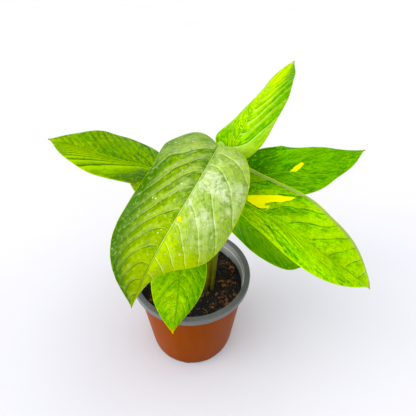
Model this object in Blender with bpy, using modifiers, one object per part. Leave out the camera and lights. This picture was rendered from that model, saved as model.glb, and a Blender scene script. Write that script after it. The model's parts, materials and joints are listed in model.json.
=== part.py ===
"""Potted prayer plant: a two-tone nursery pot, its potting mix and nine leaves on their stalks.

Metres, +Z up. The origin is the middle of the pot's foot, on the surface it stands on.
Each leaf is one grown piece: its stalk stands in a hole in the mix, bends over at the
blade's base and runs on as the midrib under the blade.
"""
import math
import random

import bmesh
import bpy
import numpy as np
from mathutils import Euler, Vector

# Pot
RIM_RADIUS = 0.060
POT_HEIGHT = 0.105
WALL = 0.0010
LIP_INNER_RADIUS = 0.0545
LIP_SKIRT = 0.006
BODY_TOP_RADIUS = 0.0560
BODY_FOOT_RADIUS = 0.0465
STEP_DROP = 0.009
STEP_WIDTH = 0.0008
FOOT_HEIGHT = 0.0020
FLOOR_LIFT = 0.0036
FOOT_COUNT = 12
FOOT_WIDTH = 0.007
CENTRE_FOOT_RADIUS = 0.014
FLOOR_BEVEL = 0.002
SMALL_BEVEL = 0.0006
ROUND_OVER = 0.0005
FOOT_FLARE = 0.0004
NOTCH_DEPTH = 0.006
NOTCH_INSET = 0.0008
FOOT_OFFSET = 0.35
DRAIN_COUNT = 8
DRAIN_RADIUS = 0.0035
DRAIN_CIRCLE = 0.030
TURN_STEPS = 48

# Potting mix
SOIL_DROP = 0.018
SOIL_LEVEL = POT_HEIGHT - SOIL_DROP
SOIL_RINGS = 9
SOIL_LUMP = 0.0011
SOIL_MOUND = 0.0012
SOIL_SEED = 11
CHIP_COUNT = 30
CHIP_SIZES = ((0.0028, 0.0055), (0.0022, 0.0040), (0.0018, 0.0030))
CHIP_UNEVENNESS = 0.12
CHIP_TILT = 0.5
CHIP_RISE = 0.15
CHIP_TO_WALL = 0.006
CHIP_TO_STALK = 0.0062
SOIL_EDGE = 0.0015
CLEAR = 0.0003

# Leaves
BLADE_THICKNESS = 0.0007
BLADE_END_HALF_WIDTH = 0.0007
STALK_FOOT_RADIUS = 0.0019
STALK_NECK_RADIUS = 0.0015
MIDRIB_START_RADIUS = 0.0011
MIDRIB_END_RADIUS = 0.0004
MIDRIB_REACH = 0.86
MIDRIB_POINTS = 8
STALK_POINTS = 11
HOLE_DEPTH = 0.012
HOLE_SIDES = 12
STRAIGHT_ABOVE_SOIL = 0.004

# A leaf's pairs are its left and right half, seen from the stalk to the tip; triples run base, middle, tip.
# rib: the midrib's points. up: the way the upper face looks. half_width: each half's greatest width.
# fold: degrees that a half stands up from the midrib. curl: degrees that it bends back down to its margin.
# outline: how fast a half widens, how fast it narrows, and how drawn out its tip is, over what length.
# lobe: how far the base reaches back. sweep: how far the margin leans to the tip.
# wave: the margin's waves, their height and number. root: where the stalk stands in the mix.
# lift: the way the stalk sets off. neck: the bend's length at the blade's base.
LEAVES = {
    "leaf_front": dict(
        root=(0.0160, -0.0115), neck=0.016, lift=(0.006, 0.000, 0.075), grid=(24, 8), wave=(0.0009, 3.4),
        rib=((0.023, 0.012, 0.240), (0.008, -0.037, 0.238), (-0.009, -0.058, 0.216),
             (-0.025, -0.063, 0.184), (-0.043, -0.070, 0.140)),
        up=((-0.15, -0.20, 1.00), (-0.30, -0.25, 0.65), (0.45, -0.80, 0.40)),
        half_width=(0.0395, 0.0535), fold=((35, 4, -4), (31, 18, 5)), curl=((30, 80, 87), (29, 43, 38)),
        outline=((0.90, 1.50, 0.75, 0.09), (0.60, 0.65, 0.90, 0.10)), lobe=(0.05, 1.60), sweep=(0.30, -0.20)),
    "leaf_front_low": dict(
        root=(0.0085, -0.0120), neck=0.012, lift=(-0.001, 0.000, 0.030), grid=(18, 6), wave=(0.0006, 2.5),
        rib=((-0.003, 0.002, 0.150), (-0.007, -0.029, 0.149), (-0.008, -0.048, 0.134),
             (-0.012, -0.072, 0.106)),
        up=((-0.05, -0.30, 1.00), (-0.05, -0.50, 0.85), (0.20, -0.60, 0.65)),
        half_width=(0.0235, 0.0255), fold=((10, 8, -1), (7, 6, 10)), curl=((18, 18, 36), (22, 23, 17)),
        outline=((0.90, 1.20, 0.45, 0.09), (0.90, 0.95, 0.45, 0.08)), lobe=(0.15, 0.30), sweep=(-0.05, 0.05)),
    "leaf_left": dict(
        root=(0.0125, -0.0035), neck=0.014, lift=(-0.002, 0.004, 0.060), grid=(20, 8), wave=(0.0010, 3.0),
        rib=((-0.024, 0.036, 0.194), (-0.043, 0.036, 0.205), (-0.062, 0.032, 0.213),
             (-0.081, 0.031, 0.220), (-0.105, 0.034, 0.226), (-0.126, 0.040, 0.228)),
        up=((0.00, -0.25, 1.00), (0.05, -0.15, 1.00), (0.00, -0.30, 1.00)),
        half_width=(0.0360, 0.0380), fold=((14, 20, 16), (7, 6, 11)), curl=((21, 14, 17), (17, 19, 10)),
        outline=((0.75, 1.20, 0.30, 0.07), (0.75, 1.15, 0.30, 0.07)), lobe=(0.30, 0.30), sweep=(0.00, 0.05)),
    "leaf_upright": dict(
        root=(0.0212, -0.0110), neck=0.014, lift=(0.005, 0.000, 0.070), grid=(20, 8), wave=(0.0007, 3.0),
        rib=((0.033, 0.017, 0.232), (0.047, 0.039, 0.250), (0.061, 0.059, 0.265), (0.093, 0.104, 0.280)),
        up=((-0.45, -0.45, 0.80), (-0.85, -0.20, 0.55), (-0.55, -0.40, 0.75)),
        half_width=(0.0210, 0.0295), fold=((44, 16, 39), (17, -2, 1)), curl=((4, 47, 32), (8, 34, 26)),
        outline=((0.40, 1.05, 0.30, 0.08), (0.45, 1.00, 0.30, 0.08)), lobe=(0.30, 0.70), sweep=(0.00, 0.00)),
    "leaf_right_high": dict(
        root=(0.0150, 0.0075), neck=0.014, lift=(0.003, 0.004, 0.045), grid=(20, 8), wave=(0.0006, 3.2),
        rib=((0.051, 0.064, 0.174), (0.078, 0.062, 0.182), (0.099, 0.060, 0.188),
             (0.126, 0.066, 0.194), (0.153, 0.072, 0.199), (0.176, 0.082, 0.201)),
        up=((0.00, -0.30, 1.00), (-0.05, -0.15, 1.00), (0.00, -0.20, 1.00)),
        half_width=(0.0385, 0.0350), fold=((19, 11, 10), (11, 11, 9)), curl=((8, 22, 23), (18, 18, 21)),
        outline=((0.53, 1.21, 0.35, 0.08), (0.70, 1.15, 0.35, 0.08)), lobe=(0.10, 0.20), sweep=(0.00, 0.00)),
    "leaf_right": dict(
        root=(0.0190, 0.0030), neck=0.012, lift=(0.001, 0.010, 0.055), grid=(22, 8), wave=(0.0005, 3.0),
        rib=((0.036, 0.040, 0.182), (0.049, 0.001, 0.192), (0.063, -0.021, 0.198), (0.079, -0.039, 0.199),
             (0.091, -0.047, 0.193), (0.119, -0.050, 0.172), (0.154, -0.046, 0.140)),
        up=((-0.73, -0.28, 0.71), (0.39, -0.31, 0.66), (0.01, 0.05, 0.84)),
        half_width=(0.0296, 0.0212), fold=((44, 43, 40), (18, 3, 24)), curl=((17, 26, 4), (9, 22, 6)),
        outline=((0.25, 0.38, 0.35, 0.08), (1.45, 1.02, 0.35, 0.08)), lobe=(0.90, -0.10), sweep=(0.04, -0.25)),
    "leaf_back_right": dict(
        root=(0.0130, 0.0130), neck=0.014, lift=(0.002, 0.006, 0.040), grid=(18, 6), wave=(0.0008, 2.8),
        rib=((0.042, 0.083, 0.162), (0.057, 0.091, 0.174), (0.076, 0.112, 0.175), (0.110, 0.156, 0.155)),
        up=((0.05, -0.20, 1.00), (-0.15, 0.00, 0.95), (0.10, -0.10, 0.95)),
        half_width=(0.0335, 0.0350), fold=((13, 4, 12), (10, 10, 10)), curl=((28, 46, 25), (30, 30, 30)),
        outline=((0.60, 0.95, 0.35, 0.08), (0.60, 0.95, 0.35, 0.08)), lobe=(0.30, 0.30), sweep=(0.10, 0.00)),
    "leaf_right_low": dict(
        root=(0.0200, -0.0040), neck=0.010, lift=(0.001, 0.002, 0.035), grid=(18, 6), wave=(0.0007, 2.6),
        rib=((0.040, 0.034, 0.150), (0.063, 0.002, 0.156), (0.086, -0.016, 0.150), (0.105, -0.021, 0.138)),
        up=((0.15, -0.20, 1.00), (0.25, -0.10, 0.95), (0.10, -0.20, 1.00)),
        half_width=(0.0330, 0.0290), fold=((5, 5, 5), (7, 15, 4)), curl=((20, 20, 20), (17, 5, 22)),
        outline=((0.60, 0.95, 0.35, 0.08), (1.00, 1.00, 0.35, 0.08)), lobe=(0.30, 0.00), sweep=(0.00, 0.00)),
    "leaf_back_left": dict(
        root=(0.0085, 0.0045), neck=0.012, lift=(-0.002, 0.004, 0.035), grid=(18, 6), wave=(0.0008, 2.8),
        rib=((-0.015, 0.059, 0.148), (-0.031, 0.072, 0.160), (-0.052, 0.102, 0.158), (-0.087, 0.166, 0.135)),
        up=((0.00, -0.20, 1.00), (-0.10, -0.15, 1.00), (0.00, 0.00, 1.00)),
        half_width=(0.0310, 0.0350), fold=((12, 7, 12), (10, 10, 10)), curl=((30, 40, 30), (30, 30, 30)),
        outline=((0.45, 1.00, 0.35, 0.08), (0.60, 0.95, 0.35, 0.08)), lobe=(0.35, 0.30), sweep=(0.00, 0.00)),
}


# Scene

def clear_scene():
    for obj in list(bpy.data.objects):
        bpy.data.objects.remove(obj, do_unlink=True)


def new_collection(name):
    collection = bpy.data.collections.new(name)
    bpy.context.scene.collection.children.link(collection)
    return collection


def principled(name, colour, roughness):
    material = bpy.data.materials.new(name)
    material.use_nodes = True
    shader = material.node_tree.nodes["Principled BSDF"]
    shader.inputs["Base Color"].default_value = (*colour, 1.0)
    shader.inputs["Roughness"].default_value = roughness
    shader.inputs["Metallic"].default_value = 0.0
    return material


def add_object(name, mesh, collection, material=None):
    obj = bpy.data.objects.new(name, mesh)
    collection.objects.link(obj)
    if material:
        mesh.materials.clear()
        mesh.materials.append(material)
    return obj


def hide_tool(obj):
    obj.hide_render = True
    obj.display_type = "WIRE"


def evaluated_mesh(obj):
    depsgraph = bpy.context.evaluated_depsgraph_get()
    return bpy.data.meshes.new_from_object(obj.evaluated_get(depsgraph))


def bake_modifiers(obj):
    mesh = evaluated_mesh(obj)
    obj.modifiers.clear()
    obj.data = mesh


def add_boolean(obj, operation, tool=None, tools=None):
    boolean = obj.modifiers.new(operation.title(), "BOOLEAN")
    boolean.operation = operation
    boolean.solver = "EXACT"
    if tools:
        boolean.operand_type = "COLLECTION"
        boolean.collection = tools
    else:
        boolean.object = tool


def turned(name, profile, collection, material):
    mesh = bpy.data.meshes.new(name)
    points = [(radius, 0.0, height) for radius, height in profile]
    mesh.from_pydata(points, [(i, i + 1) for i in range(len(points) - 1)], [])
    obj = add_object(name, mesh, collection, material)
    screw = obj.modifiers.new("Turn", "SCREW")
    screw.axis = "Z"
    screw.steps = TURN_STEPS
    screw.render_steps = TURN_STEPS
    screw.use_merge_vertices = True
    screw.merge_threshold = 0.00002
    bpy.context.view_layer.update()
    bake_modifiers(obj)
    obj.data.shade_smooth()
    obj.data.set_sharp_from_angle(angle=math.radians(35))
    return obj


# Pot

def arc(centre, radius, start, end, count):
    angles = [math.radians(start + (end - start) * i / (count - 1)) for i in range(count)]
    return [(centre[0] + radius * math.cos(a), centre[1] + radius * math.sin(a)) for a in angles]


def inner_radius(height):
    """The inner wall's radius at a height below the stacking step."""
    share = height / POT_HEIGHT
    return BODY_FOOT_RADIUS + (BODY_TOP_RADIUS - BODY_FOOT_RADIUS) * share - WALL - STEP_WIDTH


def pot_profile():
    floor_top = FLOOR_LIFT + WALL
    step = POT_HEIGHT - STEP_DROP
    edge = 0.5 * WALL
    lip_bottom = POT_HEIGHT - LIP_SKIRT
    inside = [
        (0.0, WALL),
        (CENTRE_FOOT_RADIUS - WALL, WALL),
        (CENTRE_FOOT_RADIUS, floor_top),
        (inner_radius(floor_top) - FLOOR_BEVEL, floor_top),
        (inner_radius(floor_top + FLOOR_BEVEL), floor_top + FLOOR_BEVEL),
        (inner_radius(step), step),
        (inner_radius(step) + STEP_WIDTH, step + SMALL_BEVEL),
    ]
    lip = arc((LIP_INNER_RADIUS + ROUND_OVER, POT_HEIGHT - ROUND_OVER), ROUND_OVER, 180, 90, 3)
    lip += arc((RIM_RADIUS - edge * 2, POT_HEIGHT - edge * 2), edge * 2, 90, 0, 4)
    lip += arc((RIM_RADIUS - edge, lip_bottom + edge), edge, 0, -180, 4)
    lip += [
        (RIM_RADIUS - WALL, POT_HEIGHT - WALL - FOOT_FLARE),
        (RIM_RADIUS - WALL - SMALL_BEVEL, POT_HEIGHT - WALL),
        (BODY_TOP_RADIUS, POT_HEIGHT - WALL),
    ]
    foot = [
        (BODY_FOOT_RADIUS + FOOT_FLARE, FLOOR_LIFT + WALL),
        (BODY_FOOT_RADIUS, FLOOR_LIFT - SMALL_BEVEL),
        (BODY_FOOT_RADIUS - FOOT_FLARE, 0.0),
        (BODY_FOOT_RADIUS - WALL - FOOT_FLARE, 0.0),
        (BODY_FOOT_RADIUS - WALL - SMALL_BEVEL, FLOOR_LIFT),
        (CENTRE_FOOT_RADIUS + WALL, FLOOR_LIFT),
        (CENTRE_FOOT_RADIUS, 0.0),
        (0.0, 0.0),
    ]
    return inside + lip + foot


def foot_notches(collection):
    """What is cut out of the pot's foot ring, so that its small feet stay."""
    bm = bmesh.new()
    pitch = 2 * math.pi / FOOT_COUNT
    notch_width = 2 * BODY_FOOT_RADIUS * math.sin(pitch / 2) - FOOT_WIDTH
    for index in range(FOOT_COUNT):
        angle = (index + FOOT_OFFSET) * pitch
        made = bmesh.ops.create_cube(bm, size=1.0)["verts"]
        bmesh.ops.scale(bm, vec=(NOTCH_DEPTH, notch_width, 2 * FOOT_HEIGHT), verts=made)
        bmesh.ops.translate(bm, vec=(BODY_FOOT_RADIUS - NOTCH_INSET, 0.0, 0.0), verts=made)
        bmesh.ops.rotate(bm, cent=(0, 0, 0), matrix=Euler((0, 0, angle)).to_matrix(), verts=made)
    mesh = bpy.data.meshes.new("foot_notches")
    bm.to_mesh(mesh)
    bm.free()
    notches = add_object("foot_notches", mesh, collection)
    hide_tool(notches)
    return notches


def drain_cutters(collection):
    bm = bmesh.new()
    for index in range(DRAIN_COUNT):
        angle = 2 * math.pi * (index + 0.5) / DRAIN_COUNT
        made = bmesh.ops.create_cone(bm, cap_ends=True, segments=HOLE_SIDES, radius1=DRAIN_RADIUS,
                                     radius2=DRAIN_RADIUS, depth=4 * WALL)["verts"]
        centre = (DRAIN_CIRCLE * math.cos(angle), DRAIN_CIRCLE * math.sin(angle), FLOOR_LIFT)
        bmesh.ops.translate(bm, vec=centre, verts=made)
    mesh = bpy.data.meshes.new("drains")
    bm.to_mesh(mesh)
    bm.free()
    drains = add_object("drains", mesh, collection)
    hide_tool(drains)
    return drains


def build_pot(parts, tools, material):
    pot = turned("pot", pot_profile(), parts, material)
    add_boolean(pot, "DIFFERENCE", foot_notches(tools))
    add_boolean(pot, "DIFFERENCE", drain_cutters(tools))


# Potting mix

def soil_height(x, y):
    """The mix's uneven top: a low mound round the stalks and lumps of two sizes."""
    lumps = math.sin(210 * x + 1.3) * math.cos(185 * y - 0.4) + 0.6 * math.sin(390 * x - 310 * y + 2.0)
    distance = math.hypot(x - 0.016, y)
    return SOIL_LEVEL + SOIL_LUMP * lumps * 0.6 + SOIL_MOUND * math.exp(-((distance / 0.02) ** 2))


def soil_profile():
    floor_top = FLOOR_LIFT + WALL + CLEAR
    edge = SOIL_LEVEL - SOIL_EDGE
    top = [(inner_radius(SOIL_LEVEL) * ring / SOIL_RINGS, SOIL_LEVEL) for ring in range(SOIL_RINGS)]
    side = [
        (inner_radius(edge) - CLEAR, edge),
        (inner_radius(floor_top + FLOOR_BEVEL) - CLEAR, floor_top + FLOOR_BEVEL),
        (inner_radius(floor_top) - FLOOR_BEVEL - CLEAR, floor_top),
        (0.0, floor_top),
    ]
    return top + side


def chip_spot(rng):
    """A place on the mix clear of the pot's wall and of the stalks."""
    while True:
        angle = rng.uniform(0, 2 * math.pi)
        distance = (inner_radius(SOIL_LEVEL) - CHIP_TO_WALL) * math.sqrt(rng.random())
        x = distance * math.cos(angle)
        y = distance * math.sin(angle)
        if all(math.hypot(x - leaf["root"][0], y - leaf["root"][1]) > CHIP_TO_STALK for leaf in LEAVES.values()):
            return x, y


def bark_chips(collection):
    rng = random.Random(SOIL_SEED)
    for index in range(CHIP_COUNT):
        x, y = chip_spot(rng)
        size = [rng.uniform(*limits) for limits in CHIP_SIZES]
        bm = bmesh.new()
        made = bmesh.ops.create_cube(bm, size=1.0)["verts"]
        for vert in made:
            vert.co += Vector([rng.uniform(-CHIP_UNEVENNESS, CHIP_UNEVENNESS) for _ in range(3)])
        bmesh.ops.scale(bm, vec=size, verts=made)
        leans = [rng.uniform(-CHIP_TILT, CHIP_TILT) for _ in range(2)]
        turn = Euler((*leans, rng.uniform(0, math.pi)))
        bmesh.ops.rotate(bm, cent=(0, 0, 0), matrix=turn.to_matrix(), verts=made)
        bmesh.ops.translate(bm, vec=(x, y, soil_height(x, y) + CHIP_RISE * size[2]), verts=made)
        bmesh.ops.triangulate(bm, faces=bm.faces[:])
        mesh = bpy.data.meshes.new(f"chip_{index}")
        bm.to_mesh(mesh)
        bm.free()
        add_object(f"chip_{index}", mesh, collection)


def stalk_holes(collection):
    bm = bmesh.new()
    radius = (STALK_FOOT_RADIUS + CLEAR) / math.cos(math.pi / HOLE_SIDES)
    bottom = SOIL_LEVEL - HOLE_DEPTH
    top = SOIL_LEVEL + 0.010
    for leaf in LEAVES.values():
        made = bmesh.ops.create_cone(bm, cap_ends=True, segments=HOLE_SIDES, radius1=radius,
                                     radius2=radius, depth=top - bottom)["verts"]
        bmesh.ops.translate(bm, vec=(*leaf["root"], (top + bottom) / 2), verts=made)
    mesh = bpy.data.meshes.new("stalk_holes")
    bm.to_mesh(mesh)
    bm.free()
    holes = add_object("stalk_holes", mesh, collection)
    hide_tool(holes)
    return holes


def build_soil(parts, tools, material):
    soil = turned("soil", soil_profile(), parts, material)
    top_edge = SOIL_LEVEL - 0.0005
    for vert in soil.data.vertices:
        if vert.co.z > top_edge:
            vert.co.z = soil_height(vert.co.x, vert.co.y)
    chips = new_collection("chips")
    bark_chips(chips)
    add_boolean(soil, "UNION", tools=chips)
    bpy.context.view_layer.update()
    bake_modifiers(soil)
    for chip in list(chips.objects):
        bpy.data.objects.remove(chip, do_unlink=True)
    bpy.data.collections.remove(chips)
    add_boolean(soil, "DIFFERENCE", stalk_holes(tools))


# Leaves

def unit(vectors):
    return vectors / np.linalg.norm(vectors, axis=-1, keepdims=True)


def smooth_curve(points, share):
    """A natural cubic spline through the points, read at shares 0 to 1 of its chord length."""
    points = np.asarray(points, float)
    count = len(points)
    knots = np.r_[0.0, np.cumsum(np.linalg.norm(np.diff(points, axis=0), axis=1))]
    knots /= knots[-1]
    step = np.diff(knots)
    matrix = np.eye(count)
    bends = np.zeros_like(points)
    for i in range(1, count - 1):
        matrix[i, i - 1:i + 2] = step[i - 1], 2 * (step[i - 1] + step[i]), step[i]
        bends[i] = 6 * ((points[i + 1] - points[i]) / step[i] - (points[i] - points[i - 1]) / step[i - 1])
    bends = np.linalg.solve(matrix, bends)
    i = np.clip(np.searchsorted(knots, share, side="right") - 1, 0, count - 2)
    a = ((knots[i + 1] - share) / step[i])[:, None]
    b = ((share - knots[i]) / step[i])[:, None]
    reach = (step[i] ** 2)[:, None] / 6
    return a * points[i] + b * points[i + 1] + ((a ** 3 - a) * bends[i] + (b ** 3 - b) * bends[i + 1]) * reach


def three_way(values, share):
    """A parabola through the values at the base, the middle and the tip."""
    base, middle, tip = (np.asarray(value, float) for value in values)
    if base.ndim:
        share = share[:, None]
    return base * (1 - share) * (1 - 2 * share) + middle * 4 * share * (1 - share) + tip * share * (2 * share - 1)


def outline_width(outline, share):
    """A half blade's width along the midrib, as a share of its greatest width."""
    widen, narrow, drawn, drawn_length = outline

    def raw(s):
        return s ** widen * (1 - s) ** narrow * (1 - drawn * np.exp(-(1 - s) / drawn_length))
    return raw(share) / raw(np.linspace(0.0, 1.0, 201)).max()


def midrib_frame(leaf, share):
    """The midrib's points, the way it runs, the way the upper face looks, and the way to its right."""
    middle = smooth_curve(leaf["rib"], share)
    ahead = smooth_curve(leaf["rib"], np.minimum(share + 0.001, 1.0))
    behind = smooth_curve(leaf["rib"], np.maximum(share - 0.001, 0.0))
    along = unit(ahead - behind)
    up = three_way(leaf["up"], share)
    up = unit(up - (up * along).sum(axis=1, keepdims=True) * along)
    return middle, along, up, np.cross(along, up)


def half_blade(leaf, side, share, across):
    """Offsets from the midrib to a half blade's points: to the side, up and along."""
    width = leaf["half_width"][side] * outline_width(leaf["outline"][side], share)
    width = np.maximum(width, BLADE_END_HALF_WIDTH)
    fold = np.radians(three_way(leaf["fold"][side], share))
    curl = np.radians(three_way(leaf["curl"][side], share))
    bend = fold - curl * across
    out = width / curl * (np.sin(fold) - np.sin(bend))
    rise = width / curl * (np.cos(bend) - np.cos(fold))
    wave_height, wave_count = leaf["wave"]
    phase = 2 * math.pi * wave_count * share + 1.7 * side
    rise = rise + wave_height * np.sin(phase) * across ** 2 * np.sin(math.pi * share)
    lean = leaf["sweep"][side] * share * across ** 1.5 * width
    lean = lean - leaf["lobe"][side] * (1 - share) ** 3 * across ** 1.3 * width
    return out, rise, lean


def blade_points(leaf, share, across):
    """Points of the upper face: share 0 to 1 from base to tip, across -1 to 1 from left to right margin."""
    middle, along, up, right = midrib_frame(leaf, share)
    left_half = half_blade(leaf, 0, share, np.abs(across))
    right_half = half_blade(leaf, 1, share, np.abs(across))
    out, rise, lean = (np.where(across < 0, a, b) for a, b in zip(left_half, right_half))
    out = out * np.sign(across)
    return middle + right * out[:, None] + up * rise[:, None] + along * lean[:, None]


def blade_object(name, leaf, collection, material):
    """An open sheet of triangles with Solidify, so that both faces are split alike."""
    rows, columns = leaf["grid"]
    bm = bmesh.new()
    bmesh.ops.create_grid(bm, x_segments=rows, y_segments=columns, size=1.0)
    flat = np.array([vert.co for vert in bm.verts])
    even = (flat[:, 0] + 1) / 2
    share = 0.65 * even + 0.35 * (0.5 - 0.5 * np.cos(math.pi * even))
    for vert, point in zip(bm.verts, blade_points(leaf, share, -flat[:, 1])):
        vert.co = point
    bmesh.ops.triangulate(bm, faces=bm.faces[:])
    mesh = bpy.data.meshes.new(name)
    bm.to_mesh(mesh)
    bm.free()
    mesh.shade_smooth()
    blade = add_object(name, mesh, collection, material)
    solidify = blade.modifiers.new("Thickness", "SOLIDIFY")
    solidify.thickness = BLADE_THICKNESS
    solidify.offset = -1.0
    return blade


def bezier(points, share):
    """A cubic Bezier curve through its four control points."""
    start, first, second, end = (np.asarray(point, float) for point in points)
    s = share[:, None]
    return start * (1 - s) ** 3 + 3 * first * s * (1 - s) ** 2 + 3 * second * s ** 2 * (1 - s) + end * s ** 3


def stalk_route(leaf):
    """Points and radii from the stalk's foot in its hole to the midrib's end under the blade."""
    share = np.linspace(0.0, MIDRIB_REACH, MIDRIB_POINTS)
    middle, along, up, _ = midrib_frame(leaf, share)
    rib_radius = MIDRIB_START_RADIUS + (MIDRIB_END_RADIUS - MIDRIB_START_RADIUS) * share / MIDRIB_REACH
    rib_radius[0] = STALK_NECK_RADIUS
    rib = middle - up * (0.6 * BLADE_THICKNESS + 0.6 * rib_radius)[:, None]
    foot = np.array([*leaf["root"], SOIL_LEVEL - HOLE_DEPTH + CLEAR])
    collar = np.array([*leaf["root"], SOIL_LEVEL + STRAIGHT_ABOVE_SOIL])
    neck = rib[0] - along[0] * leaf["neck"] - up[0] * 0.3 * leaf["neck"]
    climb = np.linspace(0.0, 1.0, STALK_POINTS)
    stem = bezier((collar, collar + np.array(leaf["lift"]), neck, rib[0]), climb)
    points = np.vstack([foot, stem, rib[1:]])
    stem_radius = STALK_FOOT_RADIUS + (STALK_NECK_RADIUS - STALK_FOOT_RADIUS) * climb
    return points, np.r_[STALK_FOOT_RADIUS, stem_radius, rib_radius[1:]]


def stalk_object(name, leaf, collection):
    points, radii = stalk_route(leaf)
    curve = bpy.data.curves.new(f"{name}_line", "CURVE")
    curve.dimensions = "3D"
    curve.bevel_depth = 1.0
    curve.bevel_resolution = 1
    curve.use_fill_caps = True
    line = curve.splines.new("POLY")
    line.points.add(len(points) - 1)
    for spot, point, radius in zip(line.points, points, radii):
        spot.co = (*point, 1.0)
        spot.radius = radius
    curve_object = bpy.data.objects.new(f"{name}_line", curve)
    collection.objects.link(curve_object)
    bpy.context.view_layer.update()
    mesh = evaluated_mesh(curve_object)
    bm = bmesh.new()
    bm.from_mesh(mesh)
    bmesh.ops.remove_doubles(bm, verts=bm.verts, dist=0.00001)
    bmesh.ops.recalc_face_normals(bm, faces=bm.faces)
    bm.to_mesh(mesh)
    bm.free()
    stalk = add_object(f"{name}_stalk", mesh, collection)
    stalk.matrix_world = curve_object.matrix_world
    bpy.data.objects.remove(curve_object, do_unlink=True)
    hide_tool(stalk)
    return stalk


def build_leaf(name, leaf, parts, tools, material):
    blade = blade_object(name, leaf, parts, material)
    add_boolean(blade, "UNION", stalk_object(name, leaf, tools))


def main():
    clear_scene()
    parts = new_collection("potted_prayer_plant")
    tools = new_collection("cutters")
    build_pot(parts, tools, principled("pot_plastic", (0.55, 0.19, 0.06), 0.45))
    build_soil(parts, tools, principled("potting_mix", (0.035, 0.020, 0.012), 0.95))
    green = principled("leaf_green", (0.16, 0.42, 0.02), 0.40)
    for name, leaf in LEAVES.items():
        build_leaf(name, leaf, parts, tools, green)


main()
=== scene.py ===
"""Potted prayer plant: the finished looks of a two-tone nursery pot, its mix and nine variegated leaves.

Metres, +Z up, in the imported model's own frame. The origin is the middle of the pot's foot.
"""
import json
import math
import random

import bmesh
import bpy
import numpy as np
from bpy.props import FloatProperty, FloatVectorProperty, IntProperty, PointerProperty
from mathutils import Euler, Matrix, Vector, noise

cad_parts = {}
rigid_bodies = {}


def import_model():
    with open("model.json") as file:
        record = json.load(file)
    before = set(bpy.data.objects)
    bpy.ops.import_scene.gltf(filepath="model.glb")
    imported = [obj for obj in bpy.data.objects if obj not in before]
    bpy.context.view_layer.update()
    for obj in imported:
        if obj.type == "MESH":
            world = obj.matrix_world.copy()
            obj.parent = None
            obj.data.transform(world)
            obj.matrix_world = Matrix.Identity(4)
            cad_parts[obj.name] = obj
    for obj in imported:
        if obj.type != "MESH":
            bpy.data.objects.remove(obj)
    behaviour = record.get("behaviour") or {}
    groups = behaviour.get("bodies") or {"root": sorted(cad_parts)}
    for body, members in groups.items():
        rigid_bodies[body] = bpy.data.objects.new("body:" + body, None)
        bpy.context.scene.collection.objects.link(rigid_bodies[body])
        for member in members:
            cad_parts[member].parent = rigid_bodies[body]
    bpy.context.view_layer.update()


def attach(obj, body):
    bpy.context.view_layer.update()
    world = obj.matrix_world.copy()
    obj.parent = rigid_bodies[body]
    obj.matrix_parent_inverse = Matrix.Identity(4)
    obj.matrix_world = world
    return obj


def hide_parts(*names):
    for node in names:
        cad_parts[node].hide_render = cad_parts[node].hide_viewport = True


bl_info = {
    "name": "Potted Prayer Plant",
    "version": (1, 0, 0),
    "blender": (4, 5, 0),
    "location": "View3D > Sidebar > Prayer Plant",
    "description": "Builds a potted prayer plant: pot, potting mix, quilted leaves on their stalks and a pale stage",
    "category": "Object",
}

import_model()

# Pot, as in the part's source
RIM_RADIUS = 0.060
POT_HEIGHT = 0.105
WALL = 0.0010
LIP_INNER_RADIUS = 0.0545
LIP_SKIRT = 0.006
BODY_TOP_RADIUS = 0.0560
BODY_FOOT_RADIUS = 0.0465
STEP_DROP = 0.009
STEP_WIDTH = 0.0008
FOOT_RISE = 0.0020
FLOOR_LIFT = 0.0036
FOOT_OFFSET = 0.85
CENTRE_FOOT_RADIUS = 0.014
DRAIN_COUNT = 8
DRAIN_RADIUS = 0.0035
DRAIN_CIRCLE = 0.030
HOLE_SIDES = 24

# Potting mix, as in the part's source
SOIL_DROP = 0.018
SOIL_LEVEL = POT_HEIGHT - SOIL_DROP
SOIL_LUMP = 0.0011
SOIL_MOUND = 0.0012
CLEAR = 0.0003

# Leaves, as in the part's source
BLADE_THICKNESS = 0.0007
BLADE_END_HALF_WIDTH = 0.0007
STALK_FOOT_RADIUS = 0.0019
STALK_NECK_RADIUS = 0.0015
MIDRIB_START_RADIUS = 0.0011
MIDRIB_END_RADIUS = 0.0004
MIDRIB_REACH = 0.86
HOLE_DEPTH = 0.012
STRAIGHT_ABOVE_SOIL = 0.004

# Finer meshes than the solids have
POT_STEPS = 144
SOIL_RINGS = 60
SOIL_STEPS = 120
STALK_POINTS = 48
MIDRIB_POINTS = 40
MILLIMETRES = 1000.0

# Stage
LEFT_LIGHT = (-0.6, -0.25, 1.0)
RIGHT_LIGHT = (0.7, 0.3, 1.2)
SIDE_LIGHT = (-1.0, -0.22, 0.12)
CAMERA_PLACE = (0.0157, -0.2209, 0.3671)
SENSOR_WIDTH = 36.0
FLOOR_REACH = 14.0

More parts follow.
